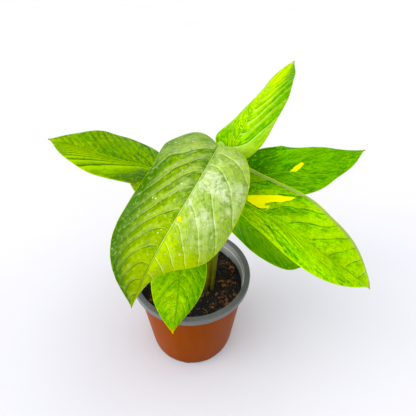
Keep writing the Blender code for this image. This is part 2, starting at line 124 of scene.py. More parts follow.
# A leaf's pairs are its left and right half, seen from the stalk to the tip; triples run base, middle, tip.
# rib: the midrib's points. up: the way the upper face looks. half_width: each half's greatest width.
# fold: degrees that a half stands up from the midrib. curl: degrees that it bends back down to its margin.
# outline: how fast a half widens, how fast it narrows, and how drawn out its tip is, over what length.
# lobe: how far the base reaches back. sweep: how far the margin leans to the tip.
# wave: the margin's waves, their height and number. root: where the stalk stands in the mix.
# lift: the way the stalk sets off. neck: the bend's length at the blade's base. grid: rows and columns.
LEAVES = {
    "leaf_front": dict(
        root=(0.0160, -0.0115), neck=0.016, lift=(0.006, 0.000, 0.075), grid=(260, 120), wave=(0.0009, 3.4),
        rib=((0.023, 0.012, 0.240), (0.008, -0.037, 0.238), (-0.009, -0.058, 0.216),
             (-0.025, -0.063, 0.184), (-0.043, -0.070, 0.140)),
        up=((-0.15, -0.20, 1.00), (-0.30, -0.25, 0.65), (0.45, -0.80, 0.40)),
        half_width=(0.0395, 0.0535), fold=((35, 4, -4), (31, 18, 5)), curl=((30, 80, 87), (29, 43, 38)),
        outline=((0.90, 1.50, 0.75, 0.09), (0.60, 0.65, 0.90, 0.10)), lobe=(0.05, 1.60), sweep=(0.30, -0.20)),
    "leaf_front_low": dict(
        root=(0.0085, -0.0120), neck=0.012, lift=(-0.001, 0.000, 0.030), grid=(150, 72), wave=(0.0006, 2.5),
        rib=((-0.003, 0.002, 0.150), (-0.007, -0.029, 0.149), (-0.008, -0.048, 0.134),
             (-0.012, -0.072, 0.106)),
        up=((-0.05, -0.30, 1.00), (-0.05, -0.50, 0.85), (0.20, -0.60, 0.65)),
        half_width=(0.0235, 0.0255), fold=((10, 8, -1), (7, 6, 10)), curl=((18, 18, 36), (22, 23, 17)),
        outline=((0.90, 1.20, 0.45, 0.09), (0.90, 0.95, 0.45, 0.08)), lobe=(0.15, 0.30), sweep=(-0.05, 0.05)),
    "leaf_left": dict(
        root=(0.0125, -0.0035), neck=0.014, lift=(-0.002, 0.004, 0.060), grid=(180, 84), wave=(0.0010, 3.0),
        rib=((-0.024, 0.036, 0.194), (-0.043, 0.036, 0.205), (-0.062, 0.032, 0.213),
             (-0.081, 0.031, 0.220), (-0.105, 0.034, 0.226), (-0.126, 0.040, 0.228)),
        up=((0.00, -0.25, 1.00), (0.05, -0.15, 1.00), (0.00, -0.30, 1.00)),
        half_width=(0.0360, 0.0380), fold=((14, 20, 16), (7, 6, 11)), curl=((21, 14, 17), (17, 19, 10)),
        outline=((0.75, 1.20, 0.30, 0.07), (0.75, 1.15, 0.30, 0.07)), lobe=(0.30, 0.30), sweep=(0.00, 0.05)),
    "leaf_upright": dict(
        root=(0.0212, -0.0110), neck=0.014, lift=(0.005, 0.000, 0.070), grid=(180, 72), wave=(0.0007, 3.0),
        rib=((0.033, 0.017, 0.232), (0.047, 0.039, 0.250), (0.061, 0.059, 0.265), (0.093, 0.104, 0.280)),
        up=((-0.45, -0.45, 0.80), (-0.85, -0.20, 0.55), (-0.55, -0.40, 0.75)),
        half_width=(0.0210, 0.0295), fold=((44, 16, 39), (17, -2, 1)), curl=((4, 47, 32), (8, 34, 26)),
        outline=((0.40, 1.05, 0.30, 0.08), (0.45, 1.00, 0.30, 0.08)), lobe=(0.30, 0.70), sweep=(0.00, 0.00)),
    "leaf_right_high": dict(
        root=(0.0150, 0.0075), neck=0.014, lift=(0.003, 0.004, 0.045), grid=(180, 84), wave=(0.0006, 3.2),
        rib=((0.051, 0.064, 0.174), (0.078, 0.062, 0.182), (0.099, 0.060, 0.188),
             (0.126, 0.066, 0.194), (0.153, 0.072, 0.199), (0.176, 0.082, 0.201)),
        up=((0.00, -0.30, 1.00), (-0.05, -0.15, 1.00), (0.00, -0.20, 1.00)),
        half_width=(0.0385, 0.0350), fold=((19, 11, 10), (11, 11, 9)), curl=((8, 22, 23), (18, 18, 21)),
        outline=((0.53, 1.21, 0.35, 0.08), (0.70, 1.15, 0.35, 0.08)), lobe=(0.10, 0.20), sweep=(0.00, 0.00)),
    "leaf_right": dict(
        root=(0.0190, 0.0030), neck=0.012, lift=(0.001, 0.010, 0.055), grid=(220, 100), wave=(0.0005, 3.0),
        rib=((0.036, 0.040, 0.182), (0.049, 0.001, 0.192), (0.063, -0.021, 0.198), (0.079, -0.039, 0.199),
             (0.091, -0.047, 0.193), (0.119, -0.050, 0.172), (0.154, -0.046, 0.140)),
        up=((-0.73, -0.28, 0.71), (0.39, -0.31, 0.66), (0.01, 0.05, 0.84)),
        half_width=(0.0296, 0.0212), fold=((44, 43, 40), (18, 3, 24)), curl=((17, 26, 4), (9, 22, 6)),
        outline=((0.25, 0.38, 0.35, 0.08), (1.45, 1.02, 0.35, 0.08)), lobe=(0.90, -0.10), sweep=(0.04, -0.25)),
    "leaf_back_right": dict(
        root=(0.0130, 0.0130), neck=0.014, lift=(0.002, 0.006, 0.040), grid=(150, 72), wave=(0.0008, 2.8),
        rib=((0.042, 0.083, 0.162), (0.057, 0.091, 0.174), (0.076, 0.112, 0.175), (0.110, 0.156, 0.155)),
        up=((0.05, -0.20, 1.00), (-0.15, 0.00, 0.95), (0.10, -0.10, 0.95)),
        half_width=(0.0335, 0.0350), fold=((13, 4, 12), (10, 10, 10)), curl=((28, 46, 25), (30, 30, 30)),
        outline=((0.60, 0.95, 0.35, 0.08), (0.60, 0.95, 0.35, 0.08)), lobe=(0.30, 0.30), sweep=(0.10, 0.00)),
    "leaf_right_low": dict(
        root=(0.0200, -0.0040), neck=0.010, lift=(0.001, 0.002, 0.035), grid=(150, 72), wave=(0.0007, 2.6),
        rib=((0.040, 0.034, 0.150), (0.063, 0.002, 0.156), (0.086, -0.016, 0.150), (0.105, -0.021, 0.138)),
        up=((0.15, -0.20, 1.00), (0.25, -0.10, 0.95), (0.10, -0.20, 1.00)),
        half_width=(0.0330, 0.0290), fold=((5, 5, 5), (7, 15, 4)), curl=((20, 20, 20), (17, 5, 22)),
        outline=((0.60, 0.95, 0.35, 0.08), (1.00, 1.00, 0.35, 0.08)), lobe=(0.30, 0.00), sweep=(0.00, 0.00)),
    "leaf_back_left": dict(
        root=(0.0085, 0.0045), neck=0.012, lift=(-0.002, 0.004, 0.035), grid=(150, 72), wave=(0.0008, 2.8),
        rib=((-0.015, 0.059, 0.148), (-0.031, 0.072, 0.160), (-0.052, 0.102, 0.158), (-0.087, 0.166, 0.135)),
        up=((0.00, -0.20, 1.00), (-0.10, -0.15, 1.00), (0.00, 0.00, 1.00)),
        half_width=(0.0310, 0.0350), fold=((12, 7, 12), (10, 10, 10)), curl=((30, 40, 30), (30, 30, 30)),
        outline=((0.45, 1.00, 0.35, 0.08), (0.60, 0.95, 0.35, 0.08)), lobe=(0.35, 0.30), sweep=(0.00, 0.00)),
}

# How each leaf differs from the common style. deep, fresh, pale, glow: its greens, linear. Pairs are a
# leaf's left and right half, seen from the stalk to the tip.
# pairs: side veins in a half. fan, bend: how far and how fast the veins sweep forward.
# relief: the quilting's height in mm. lit_bands: painted light, pale stripes before each vein.
# streaks: the yellow-green net. fold_shade, fold_shade_width: painted shade, the dark fold at each vein.
# lines: the pale vein lines. bloom_and_sheen: a whitish waxy coat with painted sheen.
# sheen_veil: painted sheen, how pale the whole half is. rim: painted shade, how dark it gets to the margin.
# shine: the specular level. shade: painted shade, how dark the whole half is.
# lit: painted light, a glow along its outer part. edge: the glow on the margin itself.
# rib: how clear the pale midrib line is.
# hem: a pale strip along the margin in mm. centre: the glow by the midrib. shaded: painted shade at the base.
# dust: pale specks. patches: yellow areas, as share along and place across.
STYLE = dict(
    deep=(0.048, 0.184, 0.002), fresh=(0.120, 0.320, 0.002), pale=(0.272, 0.448, 0.030),
    glow=(0.340, 0.540, 0.003), tip=(0.340, 0.160, 0.024), tip_start=0.965, pairs=10.0, fan=(1.7, 1.7),
    bend=(1.7, 1.7), relief=(0.35, 0.35), lit_bands=(0.3, 0.3), streaks=(0.45, 0.45), fold_shade=(0.5, 0.5),
    fold_shade_width=(0.10, 0.10), lines=(0.3, 0.3), bloom_and_sheen=(0.0, 0.0), sheen_veil=(0.0, 0.0), rim=(0.0, 0.0), hem=(0.0, 0.0),
    shade=(0.0, 0.0), lit=(0.0, 0.0), edge=0.7, rib=0.8, centre=0.3, shaded=0.0, dust=0.0, gloss=0.42, shine=0.12, patches=())
STYLES = {
    "leaf_front": dict(
        deep=(0.044, 0.145, 0.001), fresh=(0.140, 0.290, 0.002), pale=(0.400, 0.520, 0.140),
        glow=(0.430, 0.600, 0.006), pairs=10.5, fan=(0.72, 3.76), bend=(1.72, 1.94), relief=(0.30, 0.70),
        lit_bands=(0.35, 0.75), streaks=(0.35, 0.45), fold_shade=(0.30, 0.75), fold_shade_width=(0.06, 0.09),
        lines=(0.45, 0.26), bloom_and_sheen=(0.85, 0.14), sheen_veil=(0.38, 0.0), rim=(0.0, 1.00), lit=(1.00, 0.0), shade=(0.0, 0.30),
        rib=0.9, centre=0.70, dust=0.9,
        gloss=0.52, shine=0.10,
        patches=(((0.445, -0.045), (0.465, -0.04), (0.46, -0.155)),)),
    "leaf_front_low": dict(
        deep=(0.050, 0.250, 0.001), fresh=(0.185, 0.480, 0.002), pale=(0.400, 0.600, 0.030),
        glow=(0.480, 0.720, 0.003), tip=(0.750, 0.400, 0.008), tip_start=0.940, pairs=9.0, fan=(1.4, 1.4),
        relief=(0.40, 0.50), lit_bands=(0.30, 0.45), streaks=(0.45, 0.85), lines=(0.25, 0.35), fold_shade=(0.45, 0.40),
        rim=(0.45, 0.25), rib=0.15, dust=0.5),
    "leaf_left": dict(
        deep=(0.015, 0.115, 0.001), fresh=(0.048, 0.230, 0.002), pale=(0.340, 0.560, 0.030),
        glow=(0.384, 0.544, 0.016), pairs=14.0, fan=(5.0, 1.46), bend=(0.9, 1.12), relief=(0.30, 0.25),
        lit_bands=(1.00, 0.25), streaks=(0.45, 0.55), fold_shade=(0.70, 0.45), fold_shade_width=(0.34, 0.12),
        lines=(0.25, 0.20), sheen_veil=(0.35, 0.0), rib=1.0),
    "leaf_upright": dict(
        deep=(0.055, 0.270, 0.002), fresh=(0.200, 0.500, 0.002), pale=(0.430, 0.600, 0.100),
        glow=(0.560, 0.760, 0.005), pairs=10.0, fan=(1.9, 1.9), bend=(1.96, 1.96), relief=(0.30, 0.45),
        lit_bands=(0.15, 0.90), streaks=(1.00, 0.30), fold_shade=(0.40, 0.65), lines=(0.5, 0.5), rim=(0.0, 0.70),
        edge=0.2, centre=0.8, patches=(((0.42, -0.97), (0.55, -0.80), (0.80, -0.86), (0.62, -0.99)),)),
    "leaf_right_high": dict(
        deep=(0.028, 0.185, 0.001), fresh=(0.165, 0.490, 0.002), pale=(0.230, 0.520, 0.004),
        pairs=11.0, fan=(4.4, 1.4), bend=(1.88, 1.62), relief=(0.20, 0.20), lit_bands=(0.10, 0.15),
        streaks=(0.25, 0.30), fold_shade=(0.40, 0.35), lines=(0.10, 0.15), centre=0.1, shaded=0.9, gloss=0.34,
        patches=(((0.36, 0.03), (0.419, -0.116), (0.479, -0.207), (0.494, -0.132), (0.465, -0.051), (0.41, 0.075)),)),
    "leaf_right": dict(
        deep=(0.032, 0.235, 0.001), fresh=(0.205, 0.620, 0.002), pale=(0.480, 0.740, 0.065),
        glow=(0.540, 0.810, 0.005), pairs=9.0, fan=(1.0, 3.6), bend=(1.54, 0.9), relief=(0.40, 0.45),
        lit_bands=(0.50, 0.25), streaks=(0.30, 0.90), fold_shade=(0.60, 0.40), lines=(0.2, 0.4), hem=(3.2, 0.0),
        centre=0.4, shaded=0.6, lit=(0.40, 0.0), gloss=0.38,
        patches=(((0.213, -0.211), (0.308, -0.451), (0.358, -0.601), (0.416, -0.735), (0.431, -0.799),
                  (0.425, -0.673), (0.395, -0.489), (0.327, -0.251), (0.328, -0.186), (0.357, -0.250),
                  (0.350, -0.154), (0.308, -0.050), (0.216, -0.071)),)),
    "leaf_back_right": dict(
        deep=(0.064, 0.168, 0.002), fresh=(0.176, 0.336, 0.008),
        patches=(((0.60, -0.95), (0.72, -0.70), (0.9, -0.9)),)),
    "leaf_right_low": dict(
        deep=(0.046, 0.240, 0.001), fresh=(0.145, 0.450, 0.002), pale=(0.210, 0.510, 0.004), lines=(0.15, 0.15),
        streaks=(0.35, 0.35), relief=(0.25, 0.25), dust=0.4),
    "leaf_back_left": dict(
        deep=(0.048, 0.128, 0.002), fresh=(0.104, 0.208, 0.004), pale=(0.176, 0.280, 0.016)),
}


# Settings

class PotSettings(bpy.types.PropertyGroup):
    outside: FloatVectorProperty(
        name="Outside", description="Colour of the pot's outer layer", subtype="COLOR", size=3, min=0, max=1,
        default=(0.195, 0.038, 0.001))
    inside: FloatVectorProperty(
        name="Inside", description="Colour of the lip and the inner layer", subtype="COLOR", size=3, min=0, max=1,
        default=(0.120, 0.123, 0.118))
    foot_count: IntProperty(name="Feet", description="Small feet round the pot's edge", default=12, min=3, max=40)
    foot_width: FloatProperty(
        name="Foot Width", description="Length of one foot along the edge", default=0.007, min=0.001, max=0.02,
        unit="LENGTH", subtype="DISTANCE")


class MixSettings(bpy.types.PropertyGroup):
    peat: FloatVectorProperty(
        name="Peat", description="Colour of the mix", subtype="COLOR", size=3, min=0, max=1,
        default=(0.006, 0.004, 0.003))
    bark: FloatVectorProperty(
        name="Bark", description="Colour of the bark chips", subtype="COLOR", size=3, min=0, max=1,
        default=(0.205, 0.085, 0.026))
    chips: IntProperty(name="Chips", description="Bark chips on the mix", default=150, min=0, max=400)
    crumbs: IntProperty(name="Crumbs", description="Crumbs of peat on the mix", default=2600, min=0, max=5000)
    fibres: IntProperty(name="Fibres", description="Thin roots and twigs on the mix", default=130, min=0, max=300)


class LeafSettings(bpy.types.PropertyGroup):
    yellow: FloatVectorProperty(
        name="Variegation", description="Colour of the yellow areas", subtype="COLOR", size=3, min=0, max=1,
        default=(1.000, 0.970, 0.015))
    vein_line: FloatProperty(
        name="Vein Line", description="Half a vein line's width, as a share of the gap between veins",
        default=0.045, min=0.0, max=0.5, subtype="FACTOR")
    midrib_line: FloatProperty(
        name="Midrib Line", description="Half the pale midrib line's width", default=0.00034, min=0.0, max=0.005,
        unit="LENGTH", subtype="DISTANCE")
    margin_line: FloatProperty(
        name="Margin Line", description="Width of the pale line along the margin", default=0.0006, min=0.0,
        max=0.005, unit="LENGTH", subtype="DISTANCE")
    pucker: FloatProperty(
        name="Pucker", description="Height of the blade's small uneven swells", default=0.00034, min=0.0, max=0.003,
        unit="LENGTH", subtype="DISTANCE")


class StageSettings(bpy.types.PropertyGroup):
    floor: FloatVectorProperty(
        name="Floor", description="Colour of the floor", subtype="COLOR", size=3, min=0, max=1,
        default=(0.660, 0.656, 0.674))
    sky: FloatVectorProperty(
        name="Surroundings", description="Colour of the soft light from all round", subtype="COLOR", size=3,
        min=0, max=1, default=(0.930, 0.935, 1.000))
    sky_power: FloatProperty(
        name="Surroundings Strength", description="Strength of the soft light from all round", default=0.92, min=0.0,
        max=5.0)
    left_power: FloatProperty(
        name="Left Light", description="Strength of the broad light from the left", default=0.8, min=0.0)
    right_power: FloatProperty(
        name="Right Light", description="Strength of the broad light from the right", default=1.0, min=0.0)
    side_power: FloatProperty(
        name="Side Light", description="Strength of the low light from the left", default=3.2, min=0.0)
    richness: FloatProperty(
        name="Colour Richness", description="How strong the picture's colours are", default=1.12, min=0.0, max=2.0)
    lens: FloatProperty(name="Lens", description="The camera's focal length in mm", default=28.56, min=1.0,
                        subtype="DISTANCE_CAMERA")
    tilt: FloatProperty(
        name="Tilt", description="How far the camera looks down", default=math.radians(39.3), subtype="ANGLE")
    roll: FloatProperty(
        name="Roll", description="How far the camera leans", default=math.radians(1.26), subtype="ANGLE")


# Meshes

def unit(vectors):
    return vectors / np.linalg.norm(vectors, axis=-1, keepdims=True)


def new_object(name, mesh, *materials):
    for material in materials:
        mesh.materials.append(material)
    piece = bpy.data.objects.new(name, mesh)
    bpy.context.scene.collection.objects.link(piece)
    return piece


def mesh_from(name, points, faces):
    mesh = bpy.data.meshes.new(name)
    mesh.from_pydata([tuple(point) for point in points], [], faces)
    mesh.validate()
    return mesh


def store(mesh, name, values):
    """Keeps a value for each vertex under a name that materials and node trees can read."""
    attribute = mesh.attributes.new(name, "FLOAT", "POINT")
    attribute.data.foreach_set("value", np.asarray(values, np.float32))


def plain_mesh(piece):
    """The piece with its modifiers worked out and taken off."""
    bpy.context.view_layer.update()
    graph = bpy.context.evaluated_depsgraph_get()
    mesh = bpy.data.meshes.new_from_object(piece.evaluated_get(graph))
    piece.modifiers.clear()
    old = piece.data
    piece.data = mesh
    bpy.data.meshes.remove(old)
    return piece


def joined(name, pieces):
    """One object from several, each keeping its materials."""
    for piece in bpy.context.scene.objects:
        piece.select_set(False)
    for piece in pieces:
        piece.select_set(True)
    bpy.context.view_layer.objects.active = pieces[0]
    bpy.ops.object.join()
    pieces[0].name = name
    pieces[0].data.name = name
    pieces[0].select_set(False)
    return pieces[0]


def keep(piece, node):
    """Ties a finished piece to the frame in its node's place."""
    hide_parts(node)
    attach(piece, "root")


# Node trees

def add(tree, kind, **settings):
    node = tree.nodes.new(kind)
    for key, value in settings.items():
        setattr(node, key, value)
    return node


def feed(tree, socket, value):
    """Joins an output to the socket, or sets its value."""
    if isinstance(value, bpy.types.NodeSocket):
        tree.links.new(value, socket)
    else:
        socket.default_value = value


def maths(tree, operation, *values, clamp=False):
    node = add(tree, "ShaderNodeMath", operation=operation, use_clamp=clamp)
    for socket, value in zip(node.inputs, values):
        feed(tree, socket, value)
    return node.outputs[0]


def times(tree, first, *others):
    for other in others:
        first = maths(tree, "MULTIPLY", first, other)
    return first


def ramp(tree, value, start, end, low=0.0, high=1.0, smooth=True):
    """The value's way from start to end, laid over low to high."""
    kind = "SMOOTHSTEP" if smooth else "LINEAR"
    node = add(tree, "ShaderNodeMapRange", interpolation_type=kind)
    for socket, number in zip(node.inputs[:5], (value, start, end, low, high)):
        feed(tree, socket, number)
    return node.outputs[0]


def blend(tree, factor, first, second, kind="MIX"):
    node = add(tree, "ShaderNodeMix", data_type="RGBA", blend_type=kind)
    feed(tree, node.inputs[0], factor)
    for socket, value in zip(node.inputs[6:8], (first, second)):
        feed(tree, socket, value if isinstance(value, bpy.types.NodeSocket) else (*value, 1.0))
    return node.outputs[2]


def cloud(tree, vector, scale, detail=3.0, roughness=0.55, distortion=0.0):
    node = add(tree, "ShaderNodeTexNoise")
    feed(tree, node.inputs["Vector"], vector)
    for name, value in (("Scale", scale), ("Detail", detail), ("Roughness", roughness), ("Distortion", distortion)):
        node.inputs[name].default_value = value
    return node.outputs[0]


def cells(tree, vector, scale, feature="F1"):
    node = add(tree, "ShaderNodeTexVoronoi", feature=feature)
    feed(tree, node.inputs["Vector"], vector)
    node.inputs["Scale"].default_value = scale
    return node


def vector_of(tree, *values):
    node = add(tree, "ShaderNodeCombineXYZ")
    for socket, value in zip(node.inputs, values):
        feed(tree, socket, value)
    return node.outputs[0]


def reading(tree, name):
    """A stored value, in a material."""
    return add(tree, "ShaderNodeAttribute", attribute_name=name).outputs["Fac"]


def bumps(tree, shader, heights):
    """Chains bump nodes: each height with its distance in metres and its strength."""
    normal = None
    for height, distance, strength in heights:
        node = add(tree, "ShaderNodeBump")
        node.inputs["Strength"].default_value = strength
        node.inputs["Distance"].default_value = distance
        feed(tree, node.inputs["Height"], height)
        if normal is not None:
            tree.links.new(normal, node.inputs["Normal"])
        normal = node.outputs[0]
    tree.links.new(normal, shader.inputs["Normal"])


def new_material(name, **values):
    """A material, its node tree, its shader and its object coordinates."""
    material = bpy.data.materials.new(name)
    material.use_nodes = True
    tree = material.node_tree
    shader = tree.nodes["Principled BSDF"]
    for key, value in values.items():
        shader.inputs[key.replace("_", " ")].default_value = value
    place = add(tree, "ShaderNodeTexCoord").outputs["Object"]
    return material, tree, shader, place


def geometry_tree(name, **numbers):
    """An empty Geometry Nodes tree with a mesh input, one named input for each number, and a material input."""
    tree = bpy.data.node_groups.new(name, "GeometryNodeTree")
    tree.interface.new_socket("Geometry", in_out="INPUT", socket_type="NodeSocketGeometry")
    for key, value in numbers.items():
        kind = "NodeSocketInt" if isinstance(value, int) else "NodeSocketFloat"
        socket = tree.interface.new_socket(key.replace("_", " "), in_out="INPUT", socket_type=kind)
        socket.default_value = value
    tree.interface.new_socket("Material", in_out="INPUT", socket_type="NodeSocketMaterial")
    tree.interface.new_socket("Geometry", in_out="OUTPUT", socket_type="NodeSocketGeometry")
    return tree, add(tree, "NodeGroupInput").outputs


def finish_tree(tree, geometry, inputs):
    """Realize Instances and Set Material, then the tree's output."""
    real = add(tree, "GeometryNodeRealizeInstances")
    paint = add(tree, "GeometryNodeSetMaterial")
    tree.links.new(geometry, real.inputs[0])
    tree.links.new(real.outputs[0], paint.inputs["Geometry"])
    tree.links.new(inputs["Material"], paint.inputs["Material"])
    tree.links.new(paint.outputs[0], add(tree, "NodeGroupOutput").inputs[0])


def run_tree(piece, tree, **values):
    """Gives the piece the tree as a modifier, with its inputs set by their identifiers."""
    modifier = piece.modifiers.new(tree.name, "NODES")
    modifier.node_group = tree
    for item in tree.interface.items_tree:
        key = item.name.replace(" ", "_")
        if item.in_out == "INPUT" and key in values:
            modifier[item.identifier] = values[key]
    return modifier


def named(tree, name):
    """A stored value, in a Geometry Nodes tree."""
    node = add(tree, "GeometryNodeInputNamedAttribute", data_type="FLOAT")
    node.inputs["Name"].default_value = name
    return node.outputs[0]


def remember(tree, geometry, name, value, domain="POINT"):
    node = add(tree, "GeometryNodeStoreNamedAttribute", data_type="FLOAT", domain=domain)
    tree.links.new(geometry, node.inputs["Geometry"])
    node.inputs["Name"].default_value = name
    feed(tree, node.inputs["Value"], value)
    return node.outputs[0]


# Leaf shapes

def smooth_curve(points, share):
    """A natural cubic spline through the points, read at shares 0 to 1 of its chord length."""
    points = np.asarray(points, float)
    count = len(points)
    knots = np.r_[0.0, np.cumsum(np.linalg.norm(np.diff(points, axis=0), axis=1))]
    knots /= knots[-1]
    step = np.diff(knots)
    matrix = np.eye(count)
    bends = np.zeros_like(points)
    for i in range(1, count - 1):
        matrix[i, i - 1:i + 2] = step[i - 1], 2 * (step[i - 1] + step[i]), step[i]
        bends[i] = 6 * ((points[i + 1] - points[i]) / step[i] - (points[i] - points[i - 1]) / step[i - 1])
    bends = np.linalg.solve(matrix, bends)
    i = np.clip(np.searchsorted(knots, share, side="right") - 1, 0, count - 2)
    a = ((knots[i + 1] - share) / step[i])[:, None]
    b = ((share - knots[i]) / step[i])[:, None]
    reach = (step[i] ** 2)[:, None] / 6
    return a * points[i] + b * points[i + 1] + ((a ** 3 - a) * bends[i] + (b ** 3 - b) * bends[i + 1]) * reach


def three_way(values, share):
    """A parabola through the values at the base, the middle and the tip."""
    base, middle, tip = (np.asarray(value, float) for value in values)
    if base.ndim:
        share = share[:, None]
    return base * (1 - share) * (1 - 2 * share) + middle * 4 * share * (1 - share) + tip * share * (2 * share - 1)


def outline_width(outline, share):
    """A half blade's width along the midrib, as a share of its greatest width."""
    widen, narrow, drawn, drawn_length = outline

    def raw(s):
        return s ** widen * (1 - s) ** narrow * (1 - drawn * np.exp(-(1 - s) / drawn_length))
    return raw(share) / raw(np.linspace(0.0, 1.0, 201)).max()


def half_width(leaf, side, share):
    width = leaf["half_width"][side] * outline_width(leaf["outline"][side], share)
    return np.maximum(width, BLADE_END_HALF_WIDTH)


def midrib_frame(leaf, share):
    """The midrib's points, the way it runs, the way the upper face looks, and the way to its right."""
    middle = smooth_curve(leaf["rib"], share)
    ahead = smooth_curve(leaf["rib"], np.minimum(share + 0.001, 1.0))
    behind = smooth_curve(leaf["rib"], np.maximum(share - 0.001, 0.0))
    along = unit(ahead - behind)
    up = three_way(leaf["up"], share)
    up = unit(up - (up * along).sum(axis=1, keepdims=True) * along)
    return middle, along, up, np.cross(along, up)


def half_blade(leaf, side, share, across):
    """Offsets from the midrib to a half blade's points: to the side, up and along."""
    width = half_width(leaf, side, share)
    fold = np.radians(three_way(leaf["fold"][side], share))
    curl = np.radians(three_way(leaf["curl"][side], share))
    bend = fold - curl * across
    out = width / curl * (np.sin(fold) - np.sin(bend))
    rise = width / curl * (np.cos(bend) - np.cos(fold))
    wave_height, wave_count = leaf["wave"]
    phase = 2 * math.pi * wave_count * share + 1.7 * side
    rise = rise + wave_height * np.sin(phase) * across ** 2 * np.sin(math.pi * share)
    lean = leaf["sweep"][side] * share * across ** 1.5 * width
    lean = lean - leaf["lobe"][side] * (1 - share) ** 3 * across ** 1.3 * width
    return out, rise, lean


def blade_points(leaf, share, across):
    """Points of the upper face: share 0 to 1 from base to tip, across -1 to 1 from left to right margin."""
    middle, along, up, right = midrib_frame(leaf, share)
    left_half = half_blade(leaf, 0, share, np.abs(across))
    right_half = half_blade(leaf, 1, share, np.abs(across))
    out, rise, lean = (np.where(across < 0, a, b) for a, b in zip(left_half, right_half))
    out = out * np.sign(across)
    return middle + right * out[:, None] + up * rise[:, None] + along * lean[:, None]


def bezier(points, share):
    """A cubic Bezier curve through its four control points."""
    start, first, second, end = (np.asarray(point, float) for point in points)
    s = share[:, None]
    return start * (1 - s) ** 3 + 3 * first * s * (1 - s) ** 2 + 3 * second * s ** 2 * (1 - s) + end * s ** 3


def stalk_route(leaf):
    """Points, radii and climb from the stalk's foot to the midrib's end: climb is 0 to 1, then 1 to 2."""
    share = np.linspace(0.0, MIDRIB_REACH, MIDRIB_POINTS)
    middle, along, up, _ = midrib_frame(leaf, share)
    rib_radius = MIDRIB_START_RADIUS + (MIDRIB_END_RADIUS - MIDRIB_START_RADIUS) * share / MIDRIB_REACH
    swell = np.exp(-share / 0.03)
    rib_radius = rib_radius + (STALK_NECK_RADIUS - MIDRIB_START_RADIUS) * swell
    rib = middle - up * (0.6 * BLADE_THICKNESS + 0.6 * rib_radius)[:, None]
    foot = np.array([*leaf["root"], SOIL_LEVEL - HOLE_DEPTH + CLEAR])
    collar = np.array([*leaf["root"], SOIL_LEVEL + STRAIGHT_ABOVE_SOIL])
    neck = rib[0] - along[0] * leaf["neck"] - up[0] * 0.3 * leaf["neck"]
    climb = np.linspace(0.0, 1.0, STALK_POINTS)
    stem = bezier((collar, collar + np.array(leaf["lift"]), neck, rib[0]), climb)
    points = np.vstack([foot, stem, rib[1:]])
    cushion = 0.16 * np.exp(-((climb - 0.95) / 0.05) ** 2)
    sheath = 0.12 * np.exp(-(climb / 0.10) ** 2)
    stem_radius = STALK_FOOT_RADIUS + (STALK_NECK_RADIUS - STALK_FOOT_RADIUS) * climb
    stem_radius = stem_radius * (1 + cushion + sheath)
    radii = np.r_[STALK_FOOT_RADIUS, stem_radius, rib_radius[1:]]
    return points, radii, np.r_[0.0, climb, 1.0 + share[1:] / MIDRIB_REACH]


def patch_depth(leaf, share, across, patches):
    """How far inside a yellow area a point lies, in mm on the flattened blade; outside is negative."""
    length = np.linalg.norm(np.diff(smooth_curve(leaf["rib"], np.linspace(0, 1, 60)), axis=0), axis=1).sum()

    def flat(s, a):
        width = np.where(a < 0, half_width(leaf, 0, s), half_width(leaf, 1, s))
        return np.stack([a * width, s * length], -1) * MILLIMETRES
    here = flat(share, across)
    best = np.full(len(share), -20.0)
    for patch in patches:
        corners = flat(*np.array(patch, float).T)
        gap = np.full(len(share), 1e9)
        inside = np.zeros(len(share), bool)
        for start, end in zip(corners, np.roll(corners, -1, axis=0)):
            edge = end - start
            part = np.clip(((here - start) @ edge) / (edge @ edge), 0, 1)
            gap = np.minimum(gap, np.linalg.norm(start + part[:, None] * edge - here, axis=1))
            crosses = (start[1] > here[:, 1]) != (end[1] > here[:, 1])
            where = start[0] + (here[:, 1] - start[1]) * edge[0] / (edge[1] + 1e-12)
            inside ^= crosses & (here[:, 0] < where)
        best = np.maximum(best, np.where(inside, gap, -gap))
    return best


# Leaf node trees

def sided(tree, is_right, left, right):
    """The left half's value or the right half's."""
    if left == right and not isinstance(left, bpy.types.NodeSocket):
        return left
    node = add(tree, "ShaderNodeMix", data_type="FLOAT")
    for socket, value in zip((node.inputs[0], node.inputs[2], node.inputs[3]), (is_right, left, right)):
        feed(tree, socket, value)
    return node.outputs[0]


